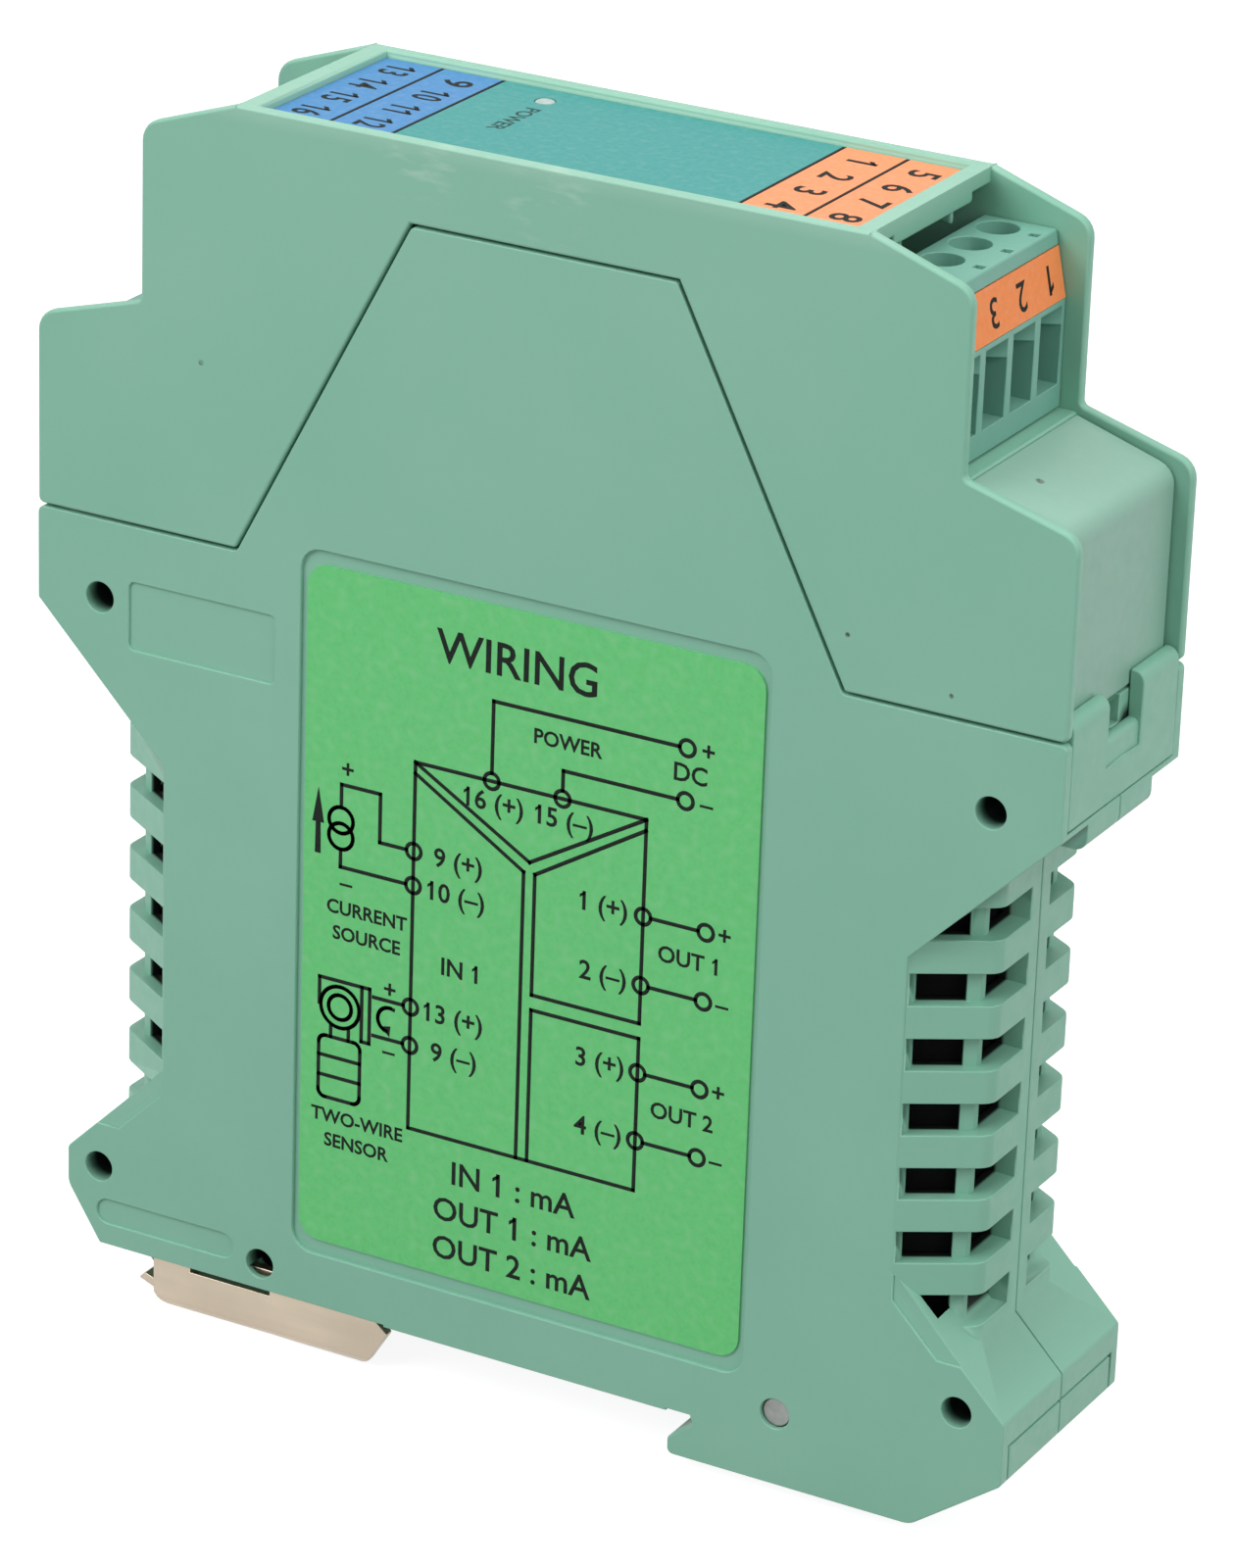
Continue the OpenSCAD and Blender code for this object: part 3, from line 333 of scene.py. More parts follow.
frontFilmMaterial = filmMaterial("frontLabelFilm", [
    (0, frontFilm["blue"]), (sharePlace(frontFilm["blueEnd"]), frontFilm["teal"]),
    (sharePlace(frontFilm["orangeStart"]), frontFilm["orange"])])
wiringPaper = filmMaterial("wiringLabelPaper", [(0, rgb(111, 208, 129))], 0.55, 2200, 0.08)
orangeFilm = filmMaterial("orangeMarkerFilm", [(0, frontFilm["marker"])])
blueFilm = filmMaterial("blueMarkerFilm", [(0, frontFilm["blue"])])

# printing ink, paler where it is thin
inkFinish = {
    "roughness": 0.6, "specular": 0.1, "fade": (2200, 3), "fadeSpan": (0.3, 0.75), "thin": (1.5, 0.002),
    "bump": (0.08, 0.00002),
}


def inkMaterial(name, colour):
    look = inkFinish
    material, shader, place = plainMaterial(name, specular=look["specular"])
    fade = noiseOn(place, *look["fade"])
    share, lift = look["thin"]
    thin = tuple(c * share + lift for c in colour)
    faded = rampOn(fade, list(zip(look["fadeSpan"], (colour, thin))))
    finishOn(shader, faded, look["roughness"], [(fade, *look["bump"])])
    return material


blackInk = inkMaterial("blackInk", rgb(24, 30, 26))
captionInk = inkMaterial("captionInk", rgb(40, 66, 64))

# bare metal, brushed along one direction and stained
metalFinish = {
    "brushDetail": 5, "stain": (90, 4), "dull": 0.82, "span": (0.35, 0.65), "brushShare": 0.5,
    "roughness": (0.8, 1.3), "brushBump": 0.15, "stainBump": (0.05, 0.0003),
}


def metalMaterial(name, colour, roughness, stretch, scale=700, depth=0.00003):
    look = metalFinish
    material, shader, place = plainMaterial(name, metallic=1.0)
    brush = noiseOn(place, scale, look["brushDetail"], stretch)
    stain = noiseOn(place, *look["stain"])
    dull = tuple(c * look["dull"] for c in colour)
    stained = rampOn(stain, list(zip(look["span"], (dull, colour))))
    brushed = mixOn(rangeOn(brush, *look["span"], 0, look["brushShare"]), stained, dull)
    smooth, rough = (roughness * share for share in look["roughness"])
    finishOn(shader, brushed, rangeOn(brush, *noiseSpan, smooth, rough),
             [(brush, look["brushBump"], depth), (stain, *look["stainBump"])])
    return material


latchSteel = metalMaterial("nickelPlatedSheet", rgb(198, 184, 165), 0.34, (0.08, 1, 1))
screwSteel = metalMaterial("zincPlatedSteel", rgb(205, 208, 210), 0.30, (1, 1, 0.3))
pinSteel = metalMaterial("pinSteel", rgb(150, 152, 150), 0.5, (1, 1, 1), 1400, 0.00008)
contactBrass = metalMaterial("contactBrass", rgb(206, 180, 120), 0.3, (0.1, 1, 1))
windingCopper = metalMaterial("windingCopper", rgb(190, 112, 60), 0.35, (1, 0.1, 1))

# dull surfaces of the inner pieces, mottled between two colours
mottledFinish = {"detail": 5, "span": (0.35, 0.65), "roughness": (-0.08, 0.08), "bump": 0.2}


def mottledMaterial(name, dark, light, roughness, scale, depth, specular=0.5):
    look = mottledFinish
    material, shader, place = plainMaterial(name, specular=specular)
    speckle = noiseOn(place, scale, look["detail"])
    colour = rampOn(speckle, list(zip(look["span"], (dark, light))))
    smooth, rough = (roughness + change for change in look["roughness"])
    finishOn(shader, colour, rangeOn(speckle, *noiseSpan, smooth, rough),
             [(speckle, look["bump"], depth)])
    return material


boardLaminate = mottledMaterial("boardLaminate", rgb(40, 92, 58), rgb(56, 116, 74), 0.4, 900, 0.00004)
ferriteGrey = mottledMaterial("ferriteGrey", rgb(58, 58, 62), rgb(82, 82, 86), 0.6, 2400, 0.00005)
# black of the sheet that paints the shade behind the vents
shadeSheetBlack = mottledMaterial("shadeSheetBlack", rgb(7, 7, 8), rgb(14, 14, 15), 0.8, 1500, 0.00003, 0.1)
blackMoulding = mottledMaterial("blackMoulding", rgb(26, 26, 28), rgb(42, 42, 45), 0.5, 2200, 0.00004)

# frosted light pipe; its depth of scatter is in metres
lensFinish = {
    "colour": rgb(180, 196, 190), "roughness": 0.22, "haze": (1500, 3), "dull": 0.86, "bump": (0.05, 0.00003),
    "scatter": 0.15, "scatterDepth": 0.001,
}
frostedLens, shader, place = plainMaterial("frostedLens")
haze = noiseOn(place, *lensFinish["haze"])
hazy = tuple(c * lensFinish["dull"] for c in lensFinish["colour"])
lensColour = rampOn(haze, list(zip(noiseSpan, (hazy, lensFinish["colour"]))))
finishOn(shader, lensColour, lensFinish["roughness"], [(haze, *lensFinish["bump"])])
shader.inputs["Subsurface Weight"].default_value = lensFinish["scatter"]
shader.inputs["Subsurface Radius"].default_value = [lensFinish["scatterDepth"]] * 3
print("materials made")


# mesh helpers
def addPiece(name, mesh, material, replaced=(), body="housing"):
    piece = bpy.data.objects.new(name, mesh)
    bpy.context.scene.collection.objects.link(piece)
    mesh.materials.clear()
    mesh.materials.append(material)
    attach(piece, body)
    if replaced:
        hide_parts(*replaced)
    return piece


def meshFrom(form, name):  # the form goes once its mesh is made
    mesh = bpy.data.meshes.new(name)
    form.to_mesh(mesh)
    form.free()
    return mesh


def madeMesh(holder):  # mesh of a holder object as its modifiers leave it; the holder goes again
    bpy.context.scene.collection.objects.link(holder)
    mesh = bpy.data.meshes.new_from_object(holder.evaluated_get(bpy.context.evaluated_depsgraph_get()))
    bpy.data.objects.remove(holder)
    return mesh


def evenNormals(mesh, sharpAngle=50):  # flat faces stay flat beside their soft edges
    mesh.shade_smooth()
    mesh.set_sharp_from_angle(angle=math.radians(sharpAngle))
    holder = bpy.data.objects.new("holder", mesh)
    weighted = holder.modifiers.new("weighted", "WEIGHTED_NORMAL")
    weighted.keep_sharp = True
    return madeMesh(holder)


# softened edges: welding distance in metres, angles in degrees, shortest edge as a share of the soft width
softening = {"weld": 2e-6, "flatAngle": 0.5, "edgeAngle": 28, "shortest": 0.5}


def weldedForm(node):
    form = bmesh.new()
    form.from_mesh(nodes[node].data)
    bmesh.ops.remove_doubles(form, verts=form.verts, dist=softening["weld"])
    return form


def softPiece(node, width, material, segments=2):  # named after its node, in one word
    form = weldedForm(node)
    flat, bent = math.radians(softening["flatAngle"]), math.radians(softening["edgeAngle"])
    bmesh.ops.dissolve_limit(form, angle_limit=flat, verts=form.verts, edges=form.edges)
    edges = [edge for edge in form.edges if edge.is_manifold and edge.is_convex
             and edge.calc_face_angle() > bent and edge.calc_length() > width * mm * softening["shortest"]]
    bmesh.ops.bevel(form, geom=edges, offset=width * mm, offset_type="OFFSET", segments=segments,
                    profile=0.5, affect="EDGES", clamp_overlap=False)
    mesh = evenNormals(meshFrom(form, node))
    first, *rest = node.split("_")
    name = first + "".join(word.capitalize() for word in rest)
    addPiece(name, mesh, material, [node], nodes[node]["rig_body"])


# moulded housing, with edges softened as the mould leaves them, in mm
housingEdges = {
    "near_shell": (0.12, housingShadedHollows), "far_shell": (0.12, housingShadedHollows),
    "upper_housing": (0.28, housingMarked), "blank_cover": (0.2, housingCover),
    "right_snap_plate": (0.15, housingPlain), "left_snap_plate": (0.15, housingPlain),
}
plugEdge = 0.1
bays = ["right", "left_upper", "left_lower"]
for kind in ("plug", "header"):
    housingEdges.update({f"{bay}_{kind}": (plugEdge, housingPlug) for bay in bays})
for node, (width, material) in housingEdges.items():
    softPiece(node, width, material)
print("housing made")

# metal pieces, with their soft edges in mm
metalEdges = {"latch": 0.12, "pin": 0.15, "screw": 0.08, "cage": 0.06}
terminals = [1, 2, 3, 4, 9, 10, 11, 12, 13, 14, 15, 16]
softPiece("foot_latch", metalEdges["latch"], latchSteel)
softPiece("assembly_pin", metalEdges["pin"], pinSteel, segments=3)
for number in terminals:
    softPiece(f"terminal_screw_{number}", metalEdges["screw"], screwSteel)
    softPiece(f"clamp_cage_{number}", metalEdges["cage"], screwSteel)
print("metal pieces made")


# geometry node helpers
def newTree(name, *sizes, whole=()):  # sizes and whole name its inputs, whole those with no fractions
    tree = bpy.data.node_groups.new(name, "GeometryNodeTree")
    tree.is_modifier = True
    tree.interface.new_socket("Geometry", in_out="OUTPUT", socket_type="NodeSocketGeometry")
    kinds = {"Geometry": "NodeSocketGeometry", "Material": "NodeSocketMaterial"}
    kinds.update({label: "NodeSocketFloat" for label in sizes})
    kinds.update({label: "NodeSocketInt" for label in whole})
    for label, kind in kinds.items():
        tree.interface.new_socket(label, in_out="INPUT", socket_type=kind)
    return tree, tree.nodes.new("NodeGroupInput"), tree.nodes.new("NodeGroupOutput")


def endTree(tree, start, end, last, output):  # real geometry in one material, because instances don't export
    realize = addNode(tree, "GeometryNodeRealizeInstances")
    paint = addNode(tree, "GeometryNodeSetMaterial")
    linkAll(tree, (last, output, realize, "Geometry"), (realize, "Geometry", paint, "Geometry"),
            (start, "Material", paint, "Material"), (paint, "Geometry", end, "Geometry"))
    return tree


def runTree(tree, mesh, values):
    holder = bpy.data.objects.new("holder", mesh)
    modifier = holder.modifiers.new(tree.name, "NODES")
    modifier.node_group = tree
    for item in tree.interface.items_tree:
        if item.in_out == "INPUT" and item.name in values:
            modifier[item.identifier] = values[item.name]
    return madeMesh(holder)


def inkSweep(tree, start, path):  # flat ink along the curves of a node
    upright = addNode(tree, "GeometryNodeSetCurveNormal", mode="Z_UP")
    profile = addNode(tree, "GeometryNodeCurvePrimitiveQuadrilateral")
    sweep = addNode(tree, "GeometryNodeCurveToMesh", {"Fill Caps": True})
    linkAll(tree, (path, "Curve", upright, "Curve"), (start, "Line Width", profile, "Width"),
            (start, "Ink Height", profile, "Height"), (upright, "Curve", sweep, "Curve"),
            (profile, "Curve", sweep, "Profile Curve"))
    return sweep


def strokeTree():  # printed lines along the edges of a flat mesh
    tree, start, end = newTree("printedLines", "Line Width", "Ink Height")
    path = addNode(tree, "GeometryNodeMeshToCurve")
    linkAll(tree, (start, "Geometry", path, "Mesh"))
    return endTree(tree, start, end, inkSweep(tree, start, path), "Mesh")


def ringTree():  # printed terminal rings on the points of a mesh
    tree, start, end = newTree("printedRings", "Ring Radius", "Line Width", "Ink Height")
    circle = addNode(tree, "GeometryNodeCurvePrimitiveCircle", {"Resolution": 28})
    spread = addNode(tree, "GeometryNodeInstanceOnPoints")
    linkAll(tree, (start, "Ring Radius", circle, "Radius"), (start, "Geometry", spread, "Points"),
            (inkSweep(tree, start, circle), "Mesh", spread, "Instance"))
    return endTree(tree, start, end, spread, "Instances")


def wireSweep(tree, start, path, sides):  # round wire along the curves of a node
    profile = addNode(tree, "GeometryNodeCurvePrimitiveCircle", {"Resolution": sides})
    sweep = addNode(tree, "GeometryNodeCurveToMesh", {"Fill Caps": True})
    linkAll(tree, (start, "Wire Radius", profile, "Radius"), (path, 0, sweep, "Curve"),
            (profile, "Curve", sweep, "Profile Curve"))
    return sweep


def springTree():  # round wire along a helix that runs along X
    tree, start, end = newTree("latchSpring", "Turns", "Coil Radius", "Wire Radius", "Length")
    helix = addNode(tree, "GeometryNodeCurveSpiral", {"Resolution": 24})
    turned = addNode(tree, "GeometryNodeTransform", {"Rotation": (0, math.pi / 2, 0)})
    linkAll(tree, (start, "Coil Radius", helix, "Start Radius"), (start, "Coil Radius", helix, "End Radius"),
            (start, "Turns", helix, "Rotations"), (start, "Length", helix, "Height"),
            (wireSweep(tree, start, helix, 10), "Mesh", turned, "Geometry"))
    return endTree(tree, start, end, turned, "Geometry")


# latch spring: a coil of round wire that fills the box of the CAD spring
springSizes = {"turns": 9.0, "wireRadius": 0.225, "squashed": 0.58}
low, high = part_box("latch_spring")
wireRadius = springSizes["wireRadius"] * mm
coil = runTree(springTree(), bpy.data.meshes.new("spring"), {
    "Turns": springSizes["turns"], "Coil Radius": (high.z - low.z) / 2 - wireRadius,
    "Wire Radius": wireRadius, "Length": high.x - low.x - 2 * wireRadius, "Material": screwSteel})
coil.transform(Matrix.Translation((low.x + wireRadius, 0, (low.z + high.z) / 2)))
coil.shade_smooth()
spring = addPiece("latchSpring", coil, screwSteel, ["latch_spring"])
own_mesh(spring)
print("spring made")

# prints are drawn flat in mm and laid on their labels; a 1's flag is in shares of the letters' size
inkHeight = 0.02
flagSizes = {"back": 0.04, "reach": 0.2, "drop": 0.15, "thick": 0.12}
printedLines, printedRings = strokeTree(), ringTree()


class FlatPrint:
    def __init__(self, lineWidth, weight, ringRadius=0.0):
        self.form = bmesh.new()
        self.lineWidth, self.weight, self.ringRadius = lineWidth, weight, ringRadius
        self.strokes, self.points = [], []

    def line(self, *corners):
        self.strokes += list(zip(corners[:-1], corners[1:]))

    def arc(self, centre, radius, steps, startAngle=0, endAngle=360):
        turn = [math.radians(startAngle + (endAngle - startAngle) * k / steps) for k in range(steps + 1)]
        self.line(*[(centre[0] + radius * math.cos(a), centre[1] + radius * math.sin(a)) for a in turn])

    def ring(self, *centres):
        self.points += centres

    def shape(self, *corners):
        base = [self.form.verts.new((x, y, -inkHeight / 2)) for x, y in corners]
        face = self.form.faces.new(base)
        grown = bmesh.ops.extrude_face_region(self.form, geom=[face])["geom"]
        for vert in [v for v in grown if isinstance(v, bmesh.types.BMVert)]:
            vert.co.z = inkHeight / 2

    def letters(self, text, size, narrow):
        curve = bpy.data.curves.new("words", "FONT")
        curve.body, curve.size, curve.extrude, curve.offset = text, size, inkHeight / 2, self.weight
        curve.align_x, curve.align_y, curve.resolution_u = "LEFT", "CENTER", 3
        mesh = madeMesh(bpy.data.objects.new("words", curve))
        mesh.transform(Matrix.Diagonal((narrow, 1, 1, 1)))
        return mesh

    def words(self, text, at, size, narrow=1.0):
        mesh = self.letters(text, size, narrow)
        across = [vert.co.x for vert in mesh.vertices]
        start = Vector((*at, 0)) - Vector(((min(across) + max(across)) / 2, 0, 0))
        mesh.transform(Matrix.Translation(start))
        self.form.from_mesh(mesh)
        bpy.data.meshes.remove(mesh)
        for k in [k for k, letter in enumerate(text) if letter == "1"]:  # the font's 1 is a plain bar
            self.flag(self.letters(text[:k + 1], size, narrow), start, size)

    def flag(self, bar, start, size):  # slanted stroke at the top of the last letter in the bar's mesh
        x = start.x + max(vert.co.x for vert in bar.vertices) - flagSizes["back"] * size
        y = start.y + max(vert.co.y for vert in bar.vertices)
        reach, drop, thick = (flagSizes[key] * size for key in ("reach", "drop", "thick"))
        self.shape((x, y - thick), (x, y), (x - reach, y - drop), (x - reach, y - drop - thick))
        bpy.data.meshes.remove(bar)

    def strokeMesh(self):  # loose edges, each longer by half a line's width at both ends
        corners, edges = [], []
        for first, second in self.strokes:
            first, second = Vector(first), Vector(second)
            reach = (second - first).normalized() * self.lineWidth / 2
            corners += [(*(first - reach), 0), (*(second + reach), 0)]
            edges.append((len(corners) - 2, len(corners) - 1))
        mesh = bpy.data.meshes.new("strokes")
        mesh.from_pydata(corners, edges, [])
        return mesh

    def lay(self, matrix, material):
        values = {"Line Width": self.lineWidth, "Ink Height": inkHeight, "Material": material}
        if self.strokes:
            self.form.from_mesh(runTree(printedLines, self.strokeMesh(), values))
        if self.points:
            dots = bpy.data.meshes.new("points")
            dots.from_pydata([(*point, 0) for point in self.points], [], [])
            self.form.from_mesh(runTree(printedRings, dots, {**values, "Ring Radius": self.ringRadius}))
        for face in self.form.faces:
            face.material_index = 0
        mesh = meshFrom(self.form, "print")
        mesh.transform(matrix @ Matrix.Scale(mm, 4))
        return mesh


def planeMatrix(origin, across, upward):  # a place in metres and two directions at right angles
    across, upward = Vector(across).normalized(), Vector(upward).normalized()
    matrix = Matrix((across, upward, across.cross(upward))).transposed().to_4x4()
    matrix.translation = Vector(origin)
    return matrix


# front label: digits read across the part, with their tops towards the orange end
frontSizes = {
    "digitSize": 3.9, "firstRow": 6.9, "rowStep": 4.6, "rows": 4, "weight": 0.06, "narrow": 0.72,
    "margin": 0.2, "columns": {13: -25.3, 9: -19.2, 1: 19.4, 5: 25.1},
    "captionSize": 2.0, "captionAt": (-0.9, -10.1), "captionWeight": 0.02,
}
_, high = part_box("front_label")
frontPrint = FlatPrint(frontFilm["lineWidth"], frontSizes["weight"])
edgeY = high.y / mm - frontSizes["margin"]
for x in frontFilm["lines"]:
    frontPrint.line((-edgeY, x), (edgeY, x))
for first, x in frontSizes["columns"].items():
    for row in range(frontSizes["rows"]):
        y = frontSizes["firstRow"] - row * frontSizes["rowStep"]
        number = str(first + row)
        narrow = frontSizes["narrow"] if len(number) > 1 else 1.0
        frontPrint.words(number, (-y, x), frontSizes["digitSize"], narrow)
onFront = planeMatrix((0, 0, high.z), (0, -1, 0), (1, 0, 0))
addPiece("frontPrint", frontPrint.lay(onFront, blackInk), blackInk)
caption = FlatPrint(frontFilm["lineWidth"], frontSizes["captionWeight"])
caption.words("POWER", frontSizes["captionAt"], frontSizes["captionSize"])
addPiece("powerCaption", caption.lay(onFront, captionInk), captionInk)

# wiring label: places are along and up in mm on the near side
minus = "–"  # a dash longer than the hyphen
plan = {
    "lineWidth": 0.36, "ringRadius": 0.72, "left": -11.1, "right": 11.4, "top": 59.65, "bottom": 25.2,
    "stemLeft": -0.25, "stemRight": 0.85, "fork": 53.1, "forkDrop": 1.0, "splitHigh": 40.9, "splitLow": 39.5,
    "supply": [(-3.6, 66.95, "16 (+)"), (3.3, 62.2, f"15 ({minus})")], "supplyEnd": 15.0, "outEnd": 17.4,
    "inputs": [(51.4, "9 (+)"), (48.2, f"10 ({minus})"), (36.75, "13 (+)"), (33.1, f"9 ({minus})")],
    "outputs": [(50.8, "1 (+)"), (44.45, f"2 ({minus})"), (36.3, "3 (+)"), (29.9, f"4 ({minus})")],
    "numberSize": 2.45, "signSize": 2.3, "weight": 0.04, "supplyText": (0.35, -2.0), "supplySign": 2.0,
    "inputText": (4.4, -0.1), "outputText": -3.7, "outputSign": 1.8,
}
left, right, top, bottom = plan["left"], plan["right"], plan["top"], plan["bottom"]
stemLeft, stemRight, fork = plan["stemLeft"], plan["stemRight"], plan["fork"]
innerTop, innerFork = top - plan["forkDrop"], fork - plan["forkDrop"]
wiring = FlatPrint(plan["lineWidth"], plan["weight"], plan["ringRadius"])
wiring.line((left, bottom), (left, top), (right, top), (right, plan["splitHigh"]),
            (stemRight, plan["splitHigh"]), (stemRight, innerFork), (right, innerTop))
wiring.line((left, bottom), (right, bottom), (right, plan["splitLow"]), (stemRight, plan["splitLow"]),
            (stemRight, bottom))
wiring.line((stemLeft, bottom), (stemLeft, innerFork), (left, innerTop))
wiring.line((left, top), ((stemLeft + stemRight) / 2, fork), (right, top))
gap = plan["ringRadius"]
for x, z, number in plan["supply"]:
    wiring.ring((x, top), (plan["supplyEnd"], z))
    wiring.line((x, top + gap), (x, z), (plan["supplyEnd"] - gap, z))
    wiring.words(number, (x + plan["supplyText"][0], top + plan["supplyText"][1]), plan["numberSize"])
    wiring.words(number[-2], (plan["supplyEnd"] + plan["supplySign"], z), plan["signSize"])
for z, number in plan["inputs"]:
    wiring.ring((left, z))
    wiring.words(number, (left + plan["inputText"][0], z + plan["inputText"][1]), plan["numberSize"])
for z, number in plan["outputs"]:
    wiring.ring((right, z), (plan["outEnd"], z))
    wiring.line((right + gap, z), (plan["outEnd"] - gap, z))
    wiring.words(number, (right + plan["outputText"], z), plan["numberSize"])
    wiring.words(number[-2], (plan["outEnd"] + plan["outputSign"], z), plan["signSize"])

# current source at the upper input, with its arrow: half widths and heights of tail, barb and tip
source = {
    "x": -18.4, "circles": (52.55, 51.05), "radius": 1.2, "steps": 28, "high": 55.9, "turnX": -14.5,
    "arrowX": -20.7, "arrow": [(0.3, 49.0), (0.25, 51.9), (0.6, 51.9)], "tip": 55.2,
    "signX": -17.8, "signAbove": 1.4, "signBelow": 1.5,
}
upperIn, lowerIn = plan["inputs"][0][0], plan["inputs"][1][0]
x, arrowX, turnX = source["x"], source["arrowX"], source["turnX"]
for z in source["circles"]:
    wiring.arc((x, z), source["radius"], source["steps"])
wiring.line((x, source["circles"][0] + source["radius"]), (x, source["high"]), (turnX, source["high"]),
            (turnX, upperIn), (left - gap, upperIn))
wiring.line((x, source["circles"][1] - source["radius"]), (x, lowerIn), (left - gap, lowerIn))
wiring.shape(*[(arrowX + half, z) for half, z in source["arrow"]], (arrowX, source["tip"]),
             *[(arrowX - half, z) for half, z in reversed(source["arrow"])])
wiring.words("+", (source["signX"], source["high"] + source["signAbove"]), plan["signSize"])
wiring.words(minus, (source["signX"], lowerIn - source["signBelow"]), plan["signSize"])

# two-wire sensor at the lower input: head, connector, body with its bands, neck and a turning arrow
sensor = {
    "head": (-18.2, 34.9), "rings": [(1.95, 32), (1.15, 24)], "plugX": (-16.0, -15.2), "plugZ": (32.2, 37.4),
    "bodyX": (-20.3, -16.1), "bodyZ": (26.0, 31.9), "corner": 0.7, "cornerSteps": 6, "bands": (28.1, 30.0),
    "neckHalf": 0.9, "neck": 1.2, "leadX": -14.8, "turn": (-13.2, 34.95), "turnRadius": 1.15,
    "turnSteps": 12, "turnAngles": (70, 255),
    "turnTip": [(-0.75, -0.75), (0.05, -1.65), (0.15, -0.55)], "signAbove": 1.0, "signBelow": 1.2,
}
upperIn, lowerIn = plan["inputs"][2][0], plan["inputs"][3][0]
headX, headZ = sensor["head"]
(plugLeft, plugRight), (plugLow, plugHigh) = sensor["plugX"], sensor["plugZ"]
(bodyLeft, bodyRight), (bodyLow, bodyHigh) = sensor["bodyX"], sensor["bodyZ"]
for radius, steps in sensor["rings"]:
    wiring.arc(sensor["head"], radius, steps)
wiring.line((plugLeft, plugLow), (plugRight, plugLow), (plugRight, plugHigh), (plugLeft, plugHigh),
            (plugLeft, plugLow))
wiring.line((bodyLeft, headZ), (bodyLeft, plugHigh), (plugLeft, plugHigh))
corner = sensor["corner"]
for z in sensor["bodyZ"]:
    wiring.line((bodyLeft + corner, z), (bodyRight - corner, z))
for x in sensor["bodyX"]:
    wiring.line((x, bodyLow + corner), (x, bodyHigh - corner))
cornerX, cornerZ = (bodyLeft + corner, bodyRight - corner), (bodyLow + corner, bodyHigh - corner)
for column, row, angle in ((0, 0, 180), (1, 0, 270), (1, 1, 0), (0, 1, 90)):
    wiring.arc((cornerX[column], cornerZ[row]), corner, sensor["cornerSteps"], angle, angle + 90)
for z in sensor["bands"]:
    wiring.line((bodyLeft, z), (bodyRight, z))
for x in (headX - sensor["neckHalf"], headX + sensor["neckHalf"]):
    wiring.line((x, bodyHigh), (x, bodyHigh + sensor["neck"]))
for z in (upperIn, lowerIn):
    wiring.line((sensor["leadX"], z), (left - gap, z))
x, z = sensor["turn"]
wiring.arc((x, z), sensor["turnRadius"], sensor["turnSteps"], *sensor["turnAngles"])
wiring.shape(*[(x + along, z + up) for along, up in sensor["turnTip"]])
wiring.words("+", (x, upperIn + sensor["signAbove"]), plan["signSize"])
wiring.words(minus, (x, lowerIn - sensor["signBelow"]), plan["signSize"])

# generic captions: words, place and size
captions = [
    ("WIRING", (-1.5, 70.7), 4.3), ("POWER", (3.7, 64.7), 1.9), ("DC", (15.4, 64.6), 2.3),
    ("CURRENT", (-15.65, 44.3), 1.8), ("SOURCE", (-15.65, 41.9), 1.8), ("IN 1", (-6.3, 41.3), 2.3),
    ("OUT 1", (15.8, 47.8), 2.1), ("OUT 2", (15.8, 33.2), 2.1), ("TWO-WIRE", (-16.3, 24.2), 1.8),
    ("SENSOR", (-16.3, 21.9), 1.8), ("IN 1 : mA", (-0.4, 21.9), 3.1), ("OUT 1 : mA", (-0.4, 18.2), 3.1),
    ("OUT 2 : mA", (-0.4, 14.5), 3.1),
]
for text, at, size in captions:
    wiring.words(text, at, size)
low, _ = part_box("wiring_label")
onSide = planeMatrix((0, low.y, 0), (1, 0, 0), (0, 0, 1))
addPiece("wiringPrint", wiring.lay(onSide, blackInk), blackInk)
print("front and side prints made")

# marker strips on the plugs, lowest number on the far side
markerSizes = {
    "lean": 0.95, "height": 4.5, "digitSize": 3.6, "step": 5.0, "poles": 4, "weight": 0.02, "lift": 0.02,
}
markers = {"right": (1, 1), "left_upper": (-1, 9), "left_lower": (-1, 13)}  # side and first number
leanAngle = math.atan2(markerSizes["lean"], markerSizes["height"])
leanIn, leanUp = math.sin(leanAngle), math.cos(leanAngle)
for bay, (side, first) in markers.items():
    low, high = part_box(f"{bay}_marker")
    front = high.x if side > 0 else low.x
    middle, lift = markerSizes["height"] / 2 * mm, markerSizes["lift"] * mm
    origin = (front - side * (leanIn * middle - leanUp * lift), 0, low.z + leanUp * middle + leanIn * lift)
    upward = (leanIn, 0, leanUp) if side < 0 else (leanIn, 0, -leanUp)
    digits = FlatPrint(frontFilm["lineWidth"], markerSizes["weight"])
    for pole in range(markerSizes["poles"]):
        at = (pole - (markerSizes["poles"] - 1) / 2) * markerSizes["step"]
        digits.words(str(first + pole), (at, 0), markerSizes["digitSize"])
    mesh = digits.lay(planeMatrix(origin, (0, -1, 0), upward), blackInk)
    strip = f"{bay}_marker"
    addPiece(f"{bay}Digits".replace("_", ""), mesh, blackInk, body=nodes[strip]["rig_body"])
print("plug prints made")


# turned pieces: a profile of radii and heights in metres
def turnedMesh(name, profile, steps=40):
    form = bmesh.new()
    turns = [2 * math.pi * k / steps for k in range(steps)]
    rings = [[form.verts.new((r * math.cos(a), r * math.sin(a), z)) for a in turns] for r, z in profile]
    for lower, upper in zip(rings[:-1], rings[1:]):
        for k in range(steps):
            form.faces.new((lower[k], lower[(k + 1) % steps], upper[(k + 1) % steps], upper[k]))
    form.faces.new(list(reversed(rings[0])))
    form.faces.new(rings[-1])
    return meshFrom(form, name)


